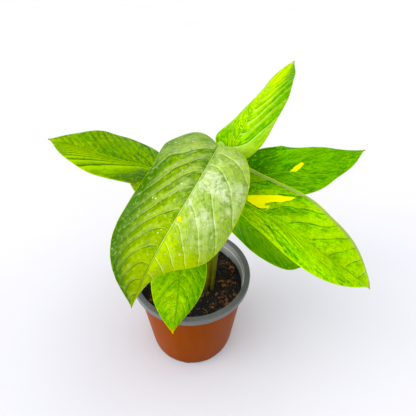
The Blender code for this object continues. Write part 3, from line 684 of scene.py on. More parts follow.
def quilting_tree():
    """Lifts a blade between its side veins and stores the vein count that its material draws by."""
    tree, inputs = geometry_tree(
        "Vein quilting", Vein_Pairs=10.0, Left_Fan=1.7, Right_Fan=1.7, Left_Bend=1.7, Right_Bend=1.7, Stagger=0.5,
        Left_Height=0.0004, Right_Height=0.0004, Pucker_Height=0.0003, Pucker_Scale=55.0, Seed=0)
    share = named(tree, "share")
    side = named(tree, "side")
    reach = maths(tree, "ABSOLUTE", side)
    is_right = ramp(tree, side, -0.03, 0.03)
    spread = maths(tree, "POWER", reach, sided(tree, is_right, inputs["Left Bend"], inputs["Right Bend"]))
    fan = sided(tree, is_right, inputs["Left Fan"], inputs["Right Fan"])
    start = maths(tree, "POWER", share, maths(tree, "MULTIPLY_ADD", fan, spread, 1.0))
    count = times(tree, start, inputs["Vein Pairs"])
    place = add(tree, "GeometryNodeInputPosition").outputs[0]
    swell = add(tree, "ShaderNodeTexNoise", noise_dimensions="4D")
    tree.links.new(place, swell.inputs["Vector"])
    tree.links.new(inputs["Seed"], swell.inputs["W"])
    tree.links.new(inputs["Pucker Scale"], swell.inputs["Scale"])
    swell.inputs["Detail"].default_value = 1.5
    unevenness = maths(tree, "SUBTRACT", swell.outputs[0], 0.5)
    count = maths(tree, "ADD", count, times(tree, is_right, inputs["Stagger"]))
    count = maths(tree, "MULTIPLY_ADD", unevenness, 0.45, count)

    # a half rises from each vein towards the tip and drops to the next one
    gap = maths(tree, "FRACT", count)
    ridge = times(tree, maths(tree, "POWER", gap, 0.8), ramp(tree, gap, 1.0, 0.82))
    calm = times(tree, ramp(tree, share, 0.0, 0.10), ramp(tree, share, 1.0, 0.84), ramp(tree, reach, 0.02, 0.18),
                 ramp(tree, reach, 1.0, 0.84, 0.40, 1.0))
    height = sided(tree, is_right, inputs["Left Height"], inputs["Right Height"])
    lift = times(tree, maths(tree, "SUBTRACT", ridge, 0.45), height, calm)
    pucker = times(tree, unevenness, 2.0, inputs["Pucker Height"], ramp(tree, reach, 0.0, 0.25))
    lift = maths(tree, "ADD", lift, pucker)
    normal = add(tree, "GeometryNodeInputNormal").outputs[0]
    offset = add(tree, "ShaderNodeVectorMath", operation="SCALE")
    tree.links.new(normal, offset.inputs[0])
    tree.links.new(lift, offset.inputs["Scale"])
    kept = remember(tree, inputs["Geometry"], "vein", count)
    move = add(tree, "GeometryNodeSetPosition")
    tree.links.new(kept, move.inputs["Geometry"])
    tree.links.new(offset.outputs[0], move.inputs["Offset"])
    finish_tree(tree, move.outputs[0], inputs)
    return tree


def stalk_tree():
    """Sweeps a grooved round stalk along a line whose points carry their radius."""
    tree, inputs = geometry_tree("Swept stalk", Sides=20, Groove=0.9)
    line = add(tree, "GeometryNodeMeshToCurve")
    tree.links.new(inputs["Geometry"], line.inputs["Mesh"])
    size = add(tree, "GeometryNodeSetCurveRadius")
    tree.links.new(line.outputs[0], size.inputs["Curve"])
    feed(tree, size.inputs["Radius"], named(tree, "thickness"))
    ring = add(tree, "GeometryNodeCurvePrimitiveCircle")
    tree.links.new(inputs["Sides"], ring.inputs["Resolution"])
    ring.inputs["Radius"].default_value = 1.0
    place = add(tree, "ShaderNodeSeparateXYZ")
    tree.links.new(add(tree, "GeometryNodeInputPosition").outputs[0], place.inputs[0])
    beyond = maths(tree, "MAXIMUM", maths(tree, "SUBTRACT", place.outputs["Y"], 0.72), 0.0)
    dent = maths(tree, "MULTIPLY", times(tree, beyond, inputs["Groove"]), -1.0)
    shaped = add(tree, "GeometryNodeSetPosition")
    tree.links.new(ring.outputs[0], shaped.inputs["Geometry"])
    tree.links.new(vector_of(tree, 0.0, dent, 0.0), shaped.inputs["Offset"])
    marked = remember(tree, shaped.outputs[0], "facing", place.outputs["Y"])
    marked = remember(tree, marked, "flank", place.outputs["X"])
    sweep = add(tree, "GeometryNodeCurveToMesh")
    tree.links.new(size.outputs[0], sweep.inputs["Curve"])
    tree.links.new(marked, sweep.inputs["Profile Curve"])
    sweep.inputs["Fill Caps"].default_value = True
    if "Scale" in sweep.inputs:
        feed(tree, sweep.inputs["Scale"], named(tree, "thickness"))
    finish_tree(tree, sweep.outputs[0], inputs)
    return tree


# Leaf materials

def moved(tree, vector, shift):
    """The vector moved by the same amount along each axis, to give each leaf its own pattern."""
    node = add(tree, "ShaderNodeVectorMath", operation="ADD")
    tree.links.new(vector, node.inputs[0])
    node.inputs[1].default_value = (shift, shift, shift)
    return node.outputs[0]


def scaled(colour, factor):
    return tuple(min(1.0, channel * factor) for channel in colour)


def leaf_material(name, style, settings, seed, under):
    """Greens by the stored vein count: strokes along the veins, painted light on pale stripes, painted shade in
    a dark fold at each vein, a net, lines and patches.
    """
    material, tree, shader, place = new_material(name)
    shader.inputs["Specular IOR Level"].default_value = 0.2 if under else style["shine"]
    share = reading(tree, "share")
    side = reading(tree, "side")
    count = reading(tree, "vein")
    reach = maths(tree, "ABSOLUTE", side)
    is_right = ramp(tree, side, -0.02, 0.02)
    gap = maths(tree, "FRACT", count)
    off_rib = ramp(tree, reach, 0.03, 0.16)

    def per_side(key):
        return sided(tree, is_right, *style[key])

    # strokes along the veins, from coarse to hair-fine, and clouds across them
    coarse_place = moved(tree, vector_of(tree, times(tree, count, 1.3), times(tree, reach, 3.0), side), seed * 7.31)
    strokes = cloud(tree, coarse_place, 1.0, 4.0, 0.60, 0.4)
    net_place = moved(tree, vector_of(tree, times(tree, count, 5.0), times(tree, reach, 9.0), side), seed * 5.77)
    net = cloud(tree, net_place, 1.0, 3.0, 0.55, 0.8)
    fine_place = moved(tree, vector_of(tree, times(tree, count, 17.0), times(tree, reach, 7.0), 0.0), seed * 3.17)
    fine = cloud(tree, fine_place, 1.0, 2.0, 0.6)
    blotch = cloud(tree, moved(tree, place, seed * 0.37), 42.0, 4.0, 0.6)
    grain = cloud(tree, place, 420.0, 3.0, 0.6)

    mottling = maths(tree, "MULTIPLY_ADD", maths(tree, "SUBTRACT", net, 0.5), 0.95, strokes)
    colour = blend(tree, ramp(tree, mottling, 0.36, 0.60), style["deep"], style["fresh"])
    colour = blend(tree, times(tree, ramp(tree, fine, 0.42, 0.66), 0.35), colour, style["pale"])
    colour = blend(tree, times(tree, ramp(tree, fine, 0.52, 0.32), 0.55), colour, scaled(style["deep"], 0.70))
    # painted light: a pale stripe on the rise before each vein
    lit_band = times(tree, ramp(tree, gap, 0.35, 0.72), ramp(tree, gap, 0.995, 0.93), off_rib,
                 ramp(tree, blotch, 0.28, 0.55, 0.40, 1.0), per_side("lit_bands"))
    colour = blend(tree, lit_band, colour, style["pale"])
    # painted sheen: the whole half paler, in clouds
    if any(style["sheen_veil"]):
        sheen_veil = times(tree, ramp(tree, blotch, 0.25, 0.60, 0.6, 1.0), per_side("sheen_veil"))
        colour = blend(tree, sheen_veil, colour, style["pale"])
    ridged = maths(tree, "ABSOLUTE", maths(tree, "SUBTRACT", net, 0.5))
    threads = times(tree, ramp(tree, ridged, 0.050, 0.008), ramp(tree, blotch, 0.36, 0.56), per_side("streaks"))
    bright = times(tree, ramp(tree, net, 0.56, 0.70), ramp(tree, strokes, 0.42, 0.60), per_side("streaks"))
    colour = blend(tree, maths(tree, "MAXIMUM", threads, bright), colour, style["glow"])
    centre = times(tree, ramp(tree, reach, 0.85, 0.10), ramp(tree, share, 0.30, 0.70),
                   ramp(tree, blotch, 0.25, 0.60, 0.5, 1.0), style["centre"])
    colour = blend(tree, centre, colour, style["glow"])
    # painted shade: darker towards the margin
    if any(style["rim"]):
        rim = times(tree, ramp(tree, reach, 0.30, 0.85), ramp(tree, blotch, 0.25, 0.60, 0.6, 1.0),
                    ramp(tree, share, 0.10, 0.60, 0.4, 1.0), per_side("rim"))
        colour = blend(tree, rim, colour, scaled(style["deep"], 0.9))
    # painted light: a glow along the half's outer part
    if any(style["lit"]):
        lit = times(tree, ramp(tree, reach, 0.30, 0.80), ramp(tree, share, 0.42, 0.66), per_side("lit"))
        colour = blend(tree, lit, colour, style["glow"])
    # painted shade: the whole half darker beyond its base
    if any(style["shade"]):
        shade = times(tree, ramp(tree, share, 0.15, 0.50, 0.30, 1.0), per_side("shade"))
        colour = blend(tree, shade, colour, scaled(style["deep"], 0.6))
    # painted shade: a darker base
    if style["shaded"]:
        colour = blend(tree, times(tree, ramp(tree, share, 0.40, 0.12), style["shaded"]), colour,
                       scaled(style["deep"], 0.45))

    # painted shade: a dark fold at each vein, with the vein's pale line beside it
    from_vein = maths(tree, "PINGPONG", count, 0.5)
    width = per_side("fold_shade_width")
    past = maths(tree, "DIVIDE", gap, width)
    fold = times(tree, ramp(tree, past, 1.0, 0.25), off_rib, per_side("fold_shade"))
    colour = blend(tree, fold, colour, scaled(style["deep"], 0.65))

    # whitish waxy coat with painted sheen, pale hem, midrib, margin and tip
    film_and_sheen_place = ramp(tree, cloud(tree, moved(tree, place, seed * 0.91), 26.0, 5.0, 0.66), 0.48, 0.62, 0.05, 1.0)
    powder = cloud(tree, place, 330.0, 4.0, 0.65)
    # painted sheen with a whitish waxy coat, in clouds, fading towards the tip and the margin
    film_and_sheen = times(tree, film_and_sheen_place, ramp(tree, powder, 0.40, 0.60, 0.45, 1.0), ramp(tree, share, 0.54, 0.36),
                 ramp(tree, reach, 1.0, 0.72, 0.25, 1.0), per_side("bloom_and_sheen"))
    colour = blend(tree, film_and_sheen, colour, (0.620, 0.680, 0.450))
    colour = blend(tree, times(tree, ramp(tree, powder, 0.53, 0.66), 0.30), colour, scaled(style["pale"], 1.15))
    colour = blend(tree, times(tree, ramp(tree, powder, 0.47, 0.34), 0.35), colour, scaled(style["deep"], 0.80))
    from_line = maths(tree, "PINGPONG", maths(tree, "ADD", count, 1.1 * settings.vein_line), 0.5)
    line = times(tree, ramp(tree, from_line, settings.vein_line, 0.4 * settings.vein_line),
                 ramp(tree, reach, 1.0, 0.6, 0.3, 1.0), ramp(tree, powder, 0.35, 0.55, 0.6, 1.0), per_side("lines"))
    colour = blend(tree, line, colour, tuple(0.6 * c + 0.4 * w for c, w in zip(style["pale"], (0.8, 0.85, 0.6))))
    edge_gap = reading(tree, "edge_gap")
    if any(style["hem"]):
        inwards = maths(tree, "DIVIDE", edge_gap, maths(tree, "MAXIMUM", per_side("hem"), 0.01))
        hem = times(tree, ramp(tree, inwards, 1.1, 0.8), ramp(tree, strokes, 0.3, 0.5, 0.5, 0.85))
        colour = blend(tree, hem, colour, (0.320, 0.400, 0.130))
    rib_gap = reading(tree, "rib_gap")
    rib_width = settings.midrib_line * MILLIMETRES
    # painted shade in the midrib's groove, either side of its pale line
    groove = times(tree, ramp(tree, rib_gap, 3.5 * rib_width, 1.0 * rib_width), ramp(tree, share, 0.99, 0.80), 0.5)
    colour = blend(tree, groove, colour, scaled(style["deep"], 0.7))
    rib = times(tree, ramp(tree, rib_gap, 1.3 * rib_width, 0.5 * rib_width),
                ramp(tree, share, 0.85, 0.50, 0.30, 1.0), style["rib"])
    colour = blend(tree, rib, colour, scaled(style["pale"], 1.3))
    margin_width = settings.margin_line * MILLIMETRES
    edge = ramp(tree, edge_gap, 1.5 * margin_width, 0.4 * margin_width)
    colour = blend(tree, times(tree, edge, style["edge"]), colour, style["glow"])
    uneven_share = maths(tree, "MULTIPLY_ADD", maths(tree, "SUBTRACT", fine, 0.5), 0.05, share)
    colour = blend(tree, ramp(tree, uneven_share, style["tip_start"], style["tip_start"] + 0.05), colour, style["tip"])

    # yellow areas with ragged edges that follow the fine strokes
    if style["patches"]:
        ragged = maths(tree, "MULTIPLY_ADD", maths(tree, "SUBTRACT", fine, 0.5), 2.2, reading(tree, "patch"))
        yellow = blend(tree, ramp(tree, grain, 0.35, 0.75), tuple(settings.yellow), (1.000, 0.990, 0.070))
        colour = blend(tree, ramp(tree, ragged, -0.15, 0.20), colour, yellow)
    if style["dust"]:
        speck = cells(tree, place, 380.0)
        chosen = add(tree, "ShaderNodeSeparateColor")
        tree.links.new(speck.outputs["Color"], chosen.inputs[0])
        dot = times(tree, ramp(tree, speck.outputs["Distance"], 0.30, 0.14),
                    ramp(tree, chosen.outputs[0], 0.86, 0.96), ramp(tree, blotch, 0.35, 0.60), style["dust"])
        colour = blend(tree, dot, colour, (0.660, 0.700, 0.560))
    if under:
        colour = blend(tree, 0.55, colour, (0.160, 0.272, 0.048))
    tree.links.new(colour, shader.inputs["Base Color"])
    rough = 0.62 if under else style["gloss"]
    tree.links.new(ramp(tree, blotch, 0.3, 0.7, rough - 0.05, rough + 0.09), shader.inputs["Roughness"])
    veinlet = maths(tree, "PINGPONG", times(tree, count, 9.0), 0.5)
    bumps(tree, shader, (
        (ramp(tree, from_vein, 0.0, 0.10), 0.0003, 0.6), (fine, 0.0005, 0.6), (net, 0.0004, 0.35),
        (ramp(tree, veinlet, 0.0, 0.25), 0.00006, 0.5), (grain, 0.0002, 0.35)))
    return material


def stalk_material():
    """Olive stalks with a yellow-green stripe down the groove, browner at the mix, paler under the blade."""
    material, tree, shader, place = new_material(
        "leaf_stalk", Roughness=0.42, Specular_IOR_Level=0.3)
    climb = reading(tree, "climb")
    facing = reading(tree, "facing")
    flank = reading(tree, "flank")
    strand_place = vector_of(tree, times(tree, flank, 4.0), times(tree, facing, 4.0), times(tree, climb, 6.0))
    strand = cloud(tree, strand_place, 1.6, 4.0, 0.6)
    blotch = cloud(tree, place, 160.0, 3.0, 0.6)
    colour = blend(tree, ramp(tree, strand, 0.35, 0.65), (0.090, 0.102, 0.003), (0.200, 0.225, 0.007))
    stripe = times(tree, ramp(tree, facing, 0.10, 0.75), ramp(tree, strand, 0.25, 0.55))
    colour = blend(tree, times(tree, stripe, 0.75), colour, (0.250, 0.285, 0.016))
    brown = times(tree, ramp(tree, climb, 0.30, 0.0), ramp(tree, blotch, 0.25, 0.60))
    colour = blend(tree, times(tree, brown, 0.7), colour, (0.060, 0.040, 0.016))
    colour = blend(tree, times(tree, ramp(tree, climb, 0.88, 0.97), 0.6), colour, (0.210, 0.305, 0.040))
    colour = blend(tree, ramp(tree, climb, 1.0, 1.08), colour, (0.240, 0.336, 0.088))
    tree.links.new(colour, shader.inputs["Base Color"])
    tree.links.new(ramp(tree, strand, 0.3, 0.7, 0.36, 0.50), shader.inputs["Roughness"])
    bumps(tree, shader, ((strand, 0.0004, 0.45), (blotch, 0.0002, 0.25)))
    return material


# Leaf pieces

def blade_sheet(name, leaf, patches):
    """The open upper face with the values that its trees and material read."""
    rows, columns = leaf["grid"]
    even = np.linspace(0.0, 1.0, rows + 1)
    along = 0.65 * even + 0.35 * (0.5 - 0.5 * np.cos(math.pi * even))
    share = np.repeat(along, columns + 1)
    side = np.tile(np.linspace(-1.0, 1.0, columns + 1), rows + 1)
    points = blade_points(leaf, share, side)
    faces = []
    for row in range(rows):
        for column in range(columns):
            here = row * (columns + 1) + column
            faces.append((here, here + 1, here + columns + 2, here + columns + 1))
    mesh = mesh_from(name, points, faces)
    width = np.where(side < 0, half_width(leaf, 0, share), half_width(leaf, 1, share))
    store(mesh, "share", share)
    store(mesh, "side", side)
    store(mesh, "rib_gap", np.abs(side) * width * MILLIMETRES)
    store(mesh, "edge_gap", (1 - np.abs(side)) * width * MILLIMETRES)
    store(mesh, "patch", patch_depth(leaf, share, side, patches))
    mesh.shade_smooth()
    return mesh


def stalk_line(name, leaf):
    points, radii, climb = stalk_route(leaf)
    mesh = bpy.data.meshes.new(name)
    mesh.from_pydata([tuple(point) for point in points], [(i, i + 1) for i in range(len(points) - 1)], [])
    store(mesh, "thickness", radii)
    store(mesh, "climb", climb)
    return mesh


def outward(mesh):
    """Turns every face outwards on a closed mesh."""
    bm = bmesh.new()
    bm.from_mesh(mesh)
    bmesh.ops.remove_doubles(bm, verts=bm.verts, dist=0.000001)
    bmesh.ops.recalc_face_normals(bm, faces=bm.faces)
    bm.to_mesh(mesh)
    bm.free()


def make_leaf(name, leaf, settings, quilting, sweeping, stalk_finish, seed):
    style = {**STYLE, **STYLES[name]}
    upper = leaf_material(f"{name}_upper", style, settings, seed, False)
    lower = leaf_material(f"{name}_lower", style, settings, seed, True)
    blade = new_object(f"{name}_blade", blade_sheet(f"{name}_blade", leaf, style["patches"]), upper, lower)
    run_tree(
        blade, quilting, Vein_Pairs=style["pairs"], Left_Fan=style["fan"][0], Right_Fan=style["fan"][1],
        Left_Bend=style["bend"][0], Right_Bend=style["bend"][1], Stagger=0.5,
        Left_Height=style["relief"][0] / MILLIMETRES, Right_Height=style["relief"][1] / MILLIMETRES,
        Pucker_Height=settings.pucker, Pucker_Scale=55.0, Seed=seed, Material=upper)
    plain_mesh(blade)
    blade.data.materials.clear()
    blade.data.materials.append(upper)
    blade.data.materials.append(lower)
    solid = blade.modifiers.new("Thickness", "SOLIDIFY")
    solid.thickness = BLADE_THICKNESS
    solid.offset = -1.0
    solid.material_offset = 1
    solid.use_even_offset = False
    plain_mesh(blade)
    stalk = new_object(f"{name}_stalk", stalk_line(f"{name}_stalk", leaf), stalk_finish)
    run_tree(stalk, sweeping, Sides=20, Groove=0.9, Material=stalk_finish)
    plain_mesh(stalk)
    outward(stalk.data)
    stalk.data.shade_smooth()
    plant = joined(f"{name}_grown", [blade, stalk])
    keep(plant, name)
    return plant


# Pot

def arc(centre, radius, start, end, count):
    angles = [math.radians(start + (end - start) * i / (count - 1)) for i in range(count)]
    return [(centre[0] + radius * math.cos(a), centre[1] + radius * math.sin(a)) for a in angles]


def inner_radius(height):
    """The inner wall's radius at a height below the stacking step."""
    share = height / POT_HEIGHT
    return BODY_FOOT_RADIUS + (BODY_TOP_RADIUS - BODY_FOOT_RADIUS) * share - WALL - STEP_WIDTH


def pot_profile():
    """The pot's section from the middle of the inner floor over the lip and down to the foot ring."""
    floor_top = FLOOR_LIFT + WALL
    step = POT_HEIGHT - STEP_DROP
    round_over = 0.0005
    edge = 0.5 * WALL
    lip_bottom = POT_HEIGHT - LIP_SKIRT
    wall_steps = 14
    inside = [(0.0, WALL), (CENTRE_FOOT_RADIUS - WALL, WALL), (CENTRE_FOOT_RADIUS, floor_top)]
    inside += [(inner_radius(floor_top) - 0.002, floor_top)]
    for i in range(wall_steps + 1):
        height = floor_top + 0.002 + (step - floor_top - 0.002) * i / wall_steps
        inside.append((inner_radius(height), height))
    inside += [(inner_radius(step) + 0.6 * STEP_WIDTH, step + 0.0002), (inner_radius(step) + STEP_WIDTH, step + 0.0008)]
    lip = arc((LIP_INNER_RADIUS + round_over, POT_HEIGHT - round_over), round_over, 180, 90, 5)
    lip += arc((RIM_RADIUS - edge * 2, POT_HEIGHT - edge * 2), edge * 2, 90, 0, 7)
    lip += arc((RIM_RADIUS - edge, lip_bottom + edge), edge, 0, -180, 7)
    lip += [(RIM_RADIUS - WALL, POT_HEIGHT - WALL - 0.0004), (RIM_RADIUS - WALL - 0.0006, POT_HEIGHT - WALL)]
    lip += [(BODY_TOP_RADIUS + 0.0004, POT_HEIGHT - WALL), (BODY_TOP_RADIUS, POT_HEIGHT - WALL - 0.0004)]
    outside = []
    foot_top = FLOOR_LIFT + 0.001
    for i in range(1, wall_steps):
        height = POT_HEIGHT - WALL - (POT_HEIGHT - WALL - foot_top) * i / wall_steps
        outside.append((BODY_FOOT_RADIUS + 0.0004 + (BODY_TOP_RADIUS - BODY_FOOT_RADIUS - 0.0004)
                        * (height - foot_top) / (POT_HEIGHT - WALL - foot_top), height))
    foot = [
        (BODY_FOOT_RADIUS + 0.0004, foot_top), (BODY_FOOT_RADIUS, FLOOR_LIFT - 0.0006),
        (BODY_FOOT_RADIUS - 0.0001, FOOT_RISE), (BODY_FOOT_RADIUS - WALL, FOOT_RISE),
        (BODY_FOOT_RADIUS - WALL - 0.0006, FLOOR_LIFT), (CENTRE_FOOT_RADIUS + WALL, FLOOR_LIFT),
        (CENTRE_FOOT_RADIUS, 0.0), (0.0, 0.0)]
    return inside + lip + outside + foot


def turned_mesh(name, profile, steps):
    """A closed shell turned round Z from a section that starts and ends on the axis."""
    rings = [profile[0]] + [point for point in profile[1:-1]] + [profile[-1]]
    points = [(0.0, 0.0, rings[0][1])]
    for radius, height in rings[1:-1]:
        for i in range(steps):
            angle = 2 * math.pi * i / steps
            points.append((radius * math.cos(angle), radius * math.sin(angle), height))
    points.append((0.0, 0.0, rings[-1][1]))
    faces = [(0, 1 + (i + 1) % steps, 1 + i) for i in range(steps)]
    for ring in range(len(rings) - 3):
        low = 1 + ring * steps
        for i in range(steps):
            after = (i + 1) % steps
            faces.append((low + i, low + after, low + steps + after, low + steps + i))
    end = len(points) - 1
    last = end - steps
    faces += [(end, last + i, last + (i + 1) % steps) for i in range(steps)]
    mesh = mesh_from(name, points, faces)
    outward(mesh)
    return mesh


def drain_cutters():
    bm = bmesh.new()
    for index in range(DRAIN_COUNT):
        angle = 2 * math.pi * (index + 0.5) / DRAIN_COUNT
        made = bmesh.ops.create_cone(bm, cap_ends=True, segments=HOLE_SIDES, radius1=DRAIN_RADIUS,
                                     radius2=DRAIN_RADIUS, depth=4 * WALL)["verts"]
        centre = (DRAIN_CIRCLE * math.cos(angle), DRAIN_CIRCLE * math.sin(angle), FLOOR_LIFT)
        bmesh.ops.translate(bm, vec=centre, verts=made)
    mesh = bpy.data.meshes.new("drains")
    bm.to_mesh(mesh)
    bm.free()
    return new_object("drains", mesh)


def foot_pad(width):
    """One small foot: a rounded pad under the pot's edge, its middle on the X axis."""
    bm = bmesh.new()
    made = bmesh.ops.create_cube(bm, size=1.0)["verts"]
    bmesh.ops.subdivide_edges(bm, edges=[e for e in bm.edges if abs(e.verts[0].co.y - e.verts[1].co.y) > 0.5],
                              cuts=5, use_grid_fill=True)
    height = FOOT_RISE + 0.0008
    for vert in bm.verts:
        radius = BODY_FOOT_RADIUS - 0.0004 + (vert.co.x - 0.5) * (WALL - 0.0001)
        if vert.co.z < 0:
            radius -= 0.0002
        angle = vert.co.y * width / BODY_FOOT_RADIUS * (0.86 if vert.co.z < 0 else 1.0)
        vert.co = Vector((radius * math.cos(angle), radius * math.sin(angle), (vert.co.z + 0.5) * height))
    bmesh.ops.bevel(bm, geom=[e for e in bm.edges if e.calc_face_angle(0.0) > 0.7], offset=0.00018, segments=2,
                    affect="EDGES", profile=0.5)
    bmesh.ops.recalc_face_normals(bm, faces=bm.faces)
    mesh = bpy.data.meshes.new("foot_pad")
    bm.to_mesh(mesh)
    bm.free()
    return new_object("foot_pad", mesh), made


def foot_tree():
    """Stands copies of one foot round the pot's edge."""
    tree, inputs = geometry_tree("Foot ring", Count=12, First_Turn=0.0)
    points = add(tree, "GeometryNodePoints")
    tree.links.new(inputs["Count"], points.inputs["Count"])
    index = add(tree, "GeometryNodeInputIndex").outputs[0]
    pitch = maths(tree, "DIVIDE", 2 * math.pi, inputs["Count"])
    turn = times(tree, maths(tree, "ADD", index, inputs["First Turn"]), pitch)
    copies = add(tree, "GeometryNodeInstanceOnPoints")
    tree.links.new(points.outputs[0], copies.inputs["Points"])
    tree.links.new(inputs["Geometry"], copies.inputs["Instance"])
    tree.links.new(vector_of(tree, 0.0, 0.0, turn), copies.inputs["Rotation"])
    finish_tree(tree, copies.outputs[0], inputs)
    return tree


def pot_outside_material(settings):
    """Terracotta-coloured plastic, semi-matte, with faint mould streaks and scuffs, darker towards the foot."""
    material, tree, shader, place = new_material("pot_outside", Specular_IOR_Level=0.10)
    split = add(tree, "ShaderNodeSeparateXYZ")
    tree.links.new(place, split.inputs[0])
    streak_place = add(tree, "ShaderNodeMapping")
    tree.links.new(place, streak_place.inputs["Vector"])
    streak_place.inputs["Scale"].default_value = (1.0, 1.0, 0.12)
    streak = cloud(tree, streak_place.outputs[0], 110.0, 4.0, 0.6)
    blotch = cloud(tree, place, 30.0, 4.0, 0.55)
    grain = cloud(tree, place, 900.0, 2.0, 0.5)
    base = tuple(settings.outside)
    colour = blend(tree, ramp(tree, blotch, 0.3, 0.7), base, tuple(c * f for c, f in zip(base, (1.12, 1.15, 1.2))))
    colour = blend(tree, times(tree, ramp(tree, streak, 0.45, 0.75), 0.06), colour,
                   tuple(c * f for c, f in zip(base, (0.82, 0.78, 0.75))))
    colour = blend(tree, ramp(tree, cloud(tree, place, 620.0, 2.0, 0.5), 0.38, 0.66, 0.0, 0.30), colour,
                   tuple(min(1.0, c * f) for c, f in zip(base, (1.45, 1.60, 2.00))))
    low = times(tree, ramp(tree, split.outputs["Z"], 0.012, 0.0), 0.5)
    colour = blend(tree, low, colour, tuple(c * 0.6 for c in base))
    scuff = times(tree, ramp(tree, cloud(tree, place, 240.0, 5.0, 0.7), 0.62, 0.72), 0.18)
    colour = blend(tree, scuff, colour, (0.42, 0.18, 0.08))
    tree.links.new(colour, shader.inputs["Base Color"])
    tree.links.new(ramp(tree, streak, 0.3, 0.7, 0.42, 0.47), shader.inputs["Roughness"])
    bumps(tree, shader, ((streak, 0.0001, 0.04), (grain, 0.00008, 0.35)))
    return material


def pot_inside_material(settings):
    """Grey plastic, matte, with painted light on the inner wall, dusted with dried mix low inside."""
    material, tree, shader, place = new_material("pot_inside", Roughness=0.45)
    split = add(tree, "ShaderNodeSeparateXYZ")
    tree.links.new(place, split.inputs[0])
    blotch = cloud(tree, place, 60.0, 5.0, 0.65)
    grain = cloud(tree, place, 700.0, 3.0, 0.6)
    base = tuple(settings.inside)
    colour = blend(tree, ramp(tree, blotch, 0.3, 0.7), tuple(c * 0.85 for c in base), tuple(c * 1.18 for c in base))
    # painted light: the inner wall below the lip much lighter than the lip
    span = add(tree, "ShaderNodeVectorMath", operation="LENGTH")
    tree.links.new(vector_of(tree, split.outputs["X"], split.outputs["Y"], 0.0), span.inputs[0])
    within = ramp(tree, span.outputs["Value"], RIM_RADIUS - 0.0014, RIM_RADIUS - 0.0034)
    below = ramp(tree, split.outputs["Z"], POT_HEIGHT - 0.0004, POT_HEIGHT - 0.0012)
    colour = blend(tree, times(tree, within, below), colour, tuple(min(1.0, c * 2.7) for c in base))
    dust = times(tree, ramp(tree, split.outputs["Z"], SOIL_LEVEL + 0.006, SOIL_LEVEL), ramp(tree, blotch, 0.35, 0.62))
    colour = blend(tree, times(tree, dust, 0.55), colour, (0.045, 0.035, 0.022))
    # painted highlight: a pale line along the stacking step's ledge
    from_step = maths(tree, "ABSOLUTE", maths(tree, "SUBTRACT", split.outputs["Z"], POT_HEIGHT - STEP_DROP + 0.0004))
    ledge_highlight = times(tree, ramp(tree, from_step, 0.0013, 0.0004), ramp(tree, blotch, 0.30, 0.50, 0.5, 1.0))
    colour = blend(tree, times(tree, ledge_highlight, 0.8), colour, tuple(min(1.0, c * 4.5) for c in base))
    speck = times(tree, ramp(tree, cloud(tree, place, 520.0, 2.0, 0.5), 0.66, 0.70), 0.4)
    colour = blend(tree, speck, colour, (0.05, 0.04, 0.03))
    tree.links.new(colour, shader.inputs["Base Color"])
    tree.links.new(ramp(tree, blotch, 0.3, 0.7, 0.38, 0.55), shader.inputs["Roughness"])
    bumps(tree, shader, ((grain, 0.0001, 0.4), (blotch, 0.0004, 0.15)))
    return material


# Potting mix

def soil_height(x, y):
    """The mix's uneven top: a low mound round the stalks and lumps of two sizes."""
    lumps = math.sin(210 * x + 1.3) * math.cos(185 * y - 0.4) + 0.6 * math.sin(390 * x - 310 * y + 2.0)
    distance = math.hypot(x - 0.016, y)
    return SOIL_LEVEL + SOIL_LUMP * lumps * 0.6 + SOIL_MOUND * math.exp(-((distance / 0.02) ** 2))


def clods(x, y):
    """Finer unevenness than the solid has."""
    coarse = noise.fractal(Vector((x * 330, y * 330, 0.3)), 0.9, 2.2, 4)
    return 0.0007 * coarse


def mix_body():
    """The mix as a closed solid with a fine uneven top, and its top face alone for scattering on."""
    radius = inner_radius(SOIL_LEVEL) - CLEAR
    top = []
    for ring in range(SOIL_RINGS + 1):
        r = radius * ring / SOIL_RINGS
        count = SOIL_STEPS if ring else 1
        for i in range(count):
            angle = 2 * math.pi * i / SOIL_STEPS
            x, y = r * math.cos(angle), r * math.sin(angle)
            calm = 1.0 if ring < SOIL_RINGS else 0.5
            top.append((x, y, soil_height(x, y) + clods(x, y) * calm - 0.0002))
    faces = [(0, 1 + i, 1 + (i + 1) % SOIL_STEPS) for i in range(SOIL_STEPS)]
    for ring in range(SOIL_RINGS - 1):
        low = 1 + ring * SOIL_STEPS
        for i in range(SOIL_STEPS):
            after = (i + 1) % SOIL_STEPS
            faces.append((low + i, low + SOIL_STEPS + i, low + SOIL_STEPS + after, low + after))
    sheet = mesh_from("mix_top", top, faces)
    bottom = FLOOR_LIFT + WALL + CLEAR
    levels = ((SOIL_LEVEL - 0.004, 0.0), (bottom + 0.002, 0.0), (bottom, 0.002))
    points = list(top)
    body_faces = list(faces)
    low = 1 + (SOIL_RINGS - 1) * SOIL_STEPS
    for height, inset in levels:
        start = len(points)
        r = inner_radius(height) - CLEAR - inset
        for i in range(SOIL_STEPS):
            angle = 2 * math.pi * i / SOIL_STEPS
            points.append((r * math.cos(angle), r * math.sin(angle), height))
        for i in range(SOIL_STEPS):
            after = (i + 1) % SOIL_STEPS
            body_faces.append((low + i, start + i, start + after, low + after))
        low = start
    body_faces.append(tuple(low + i for i in reversed(range(SOIL_STEPS))))
    body = mesh_from("mix_body", points, body_faces)
    return body, sheet


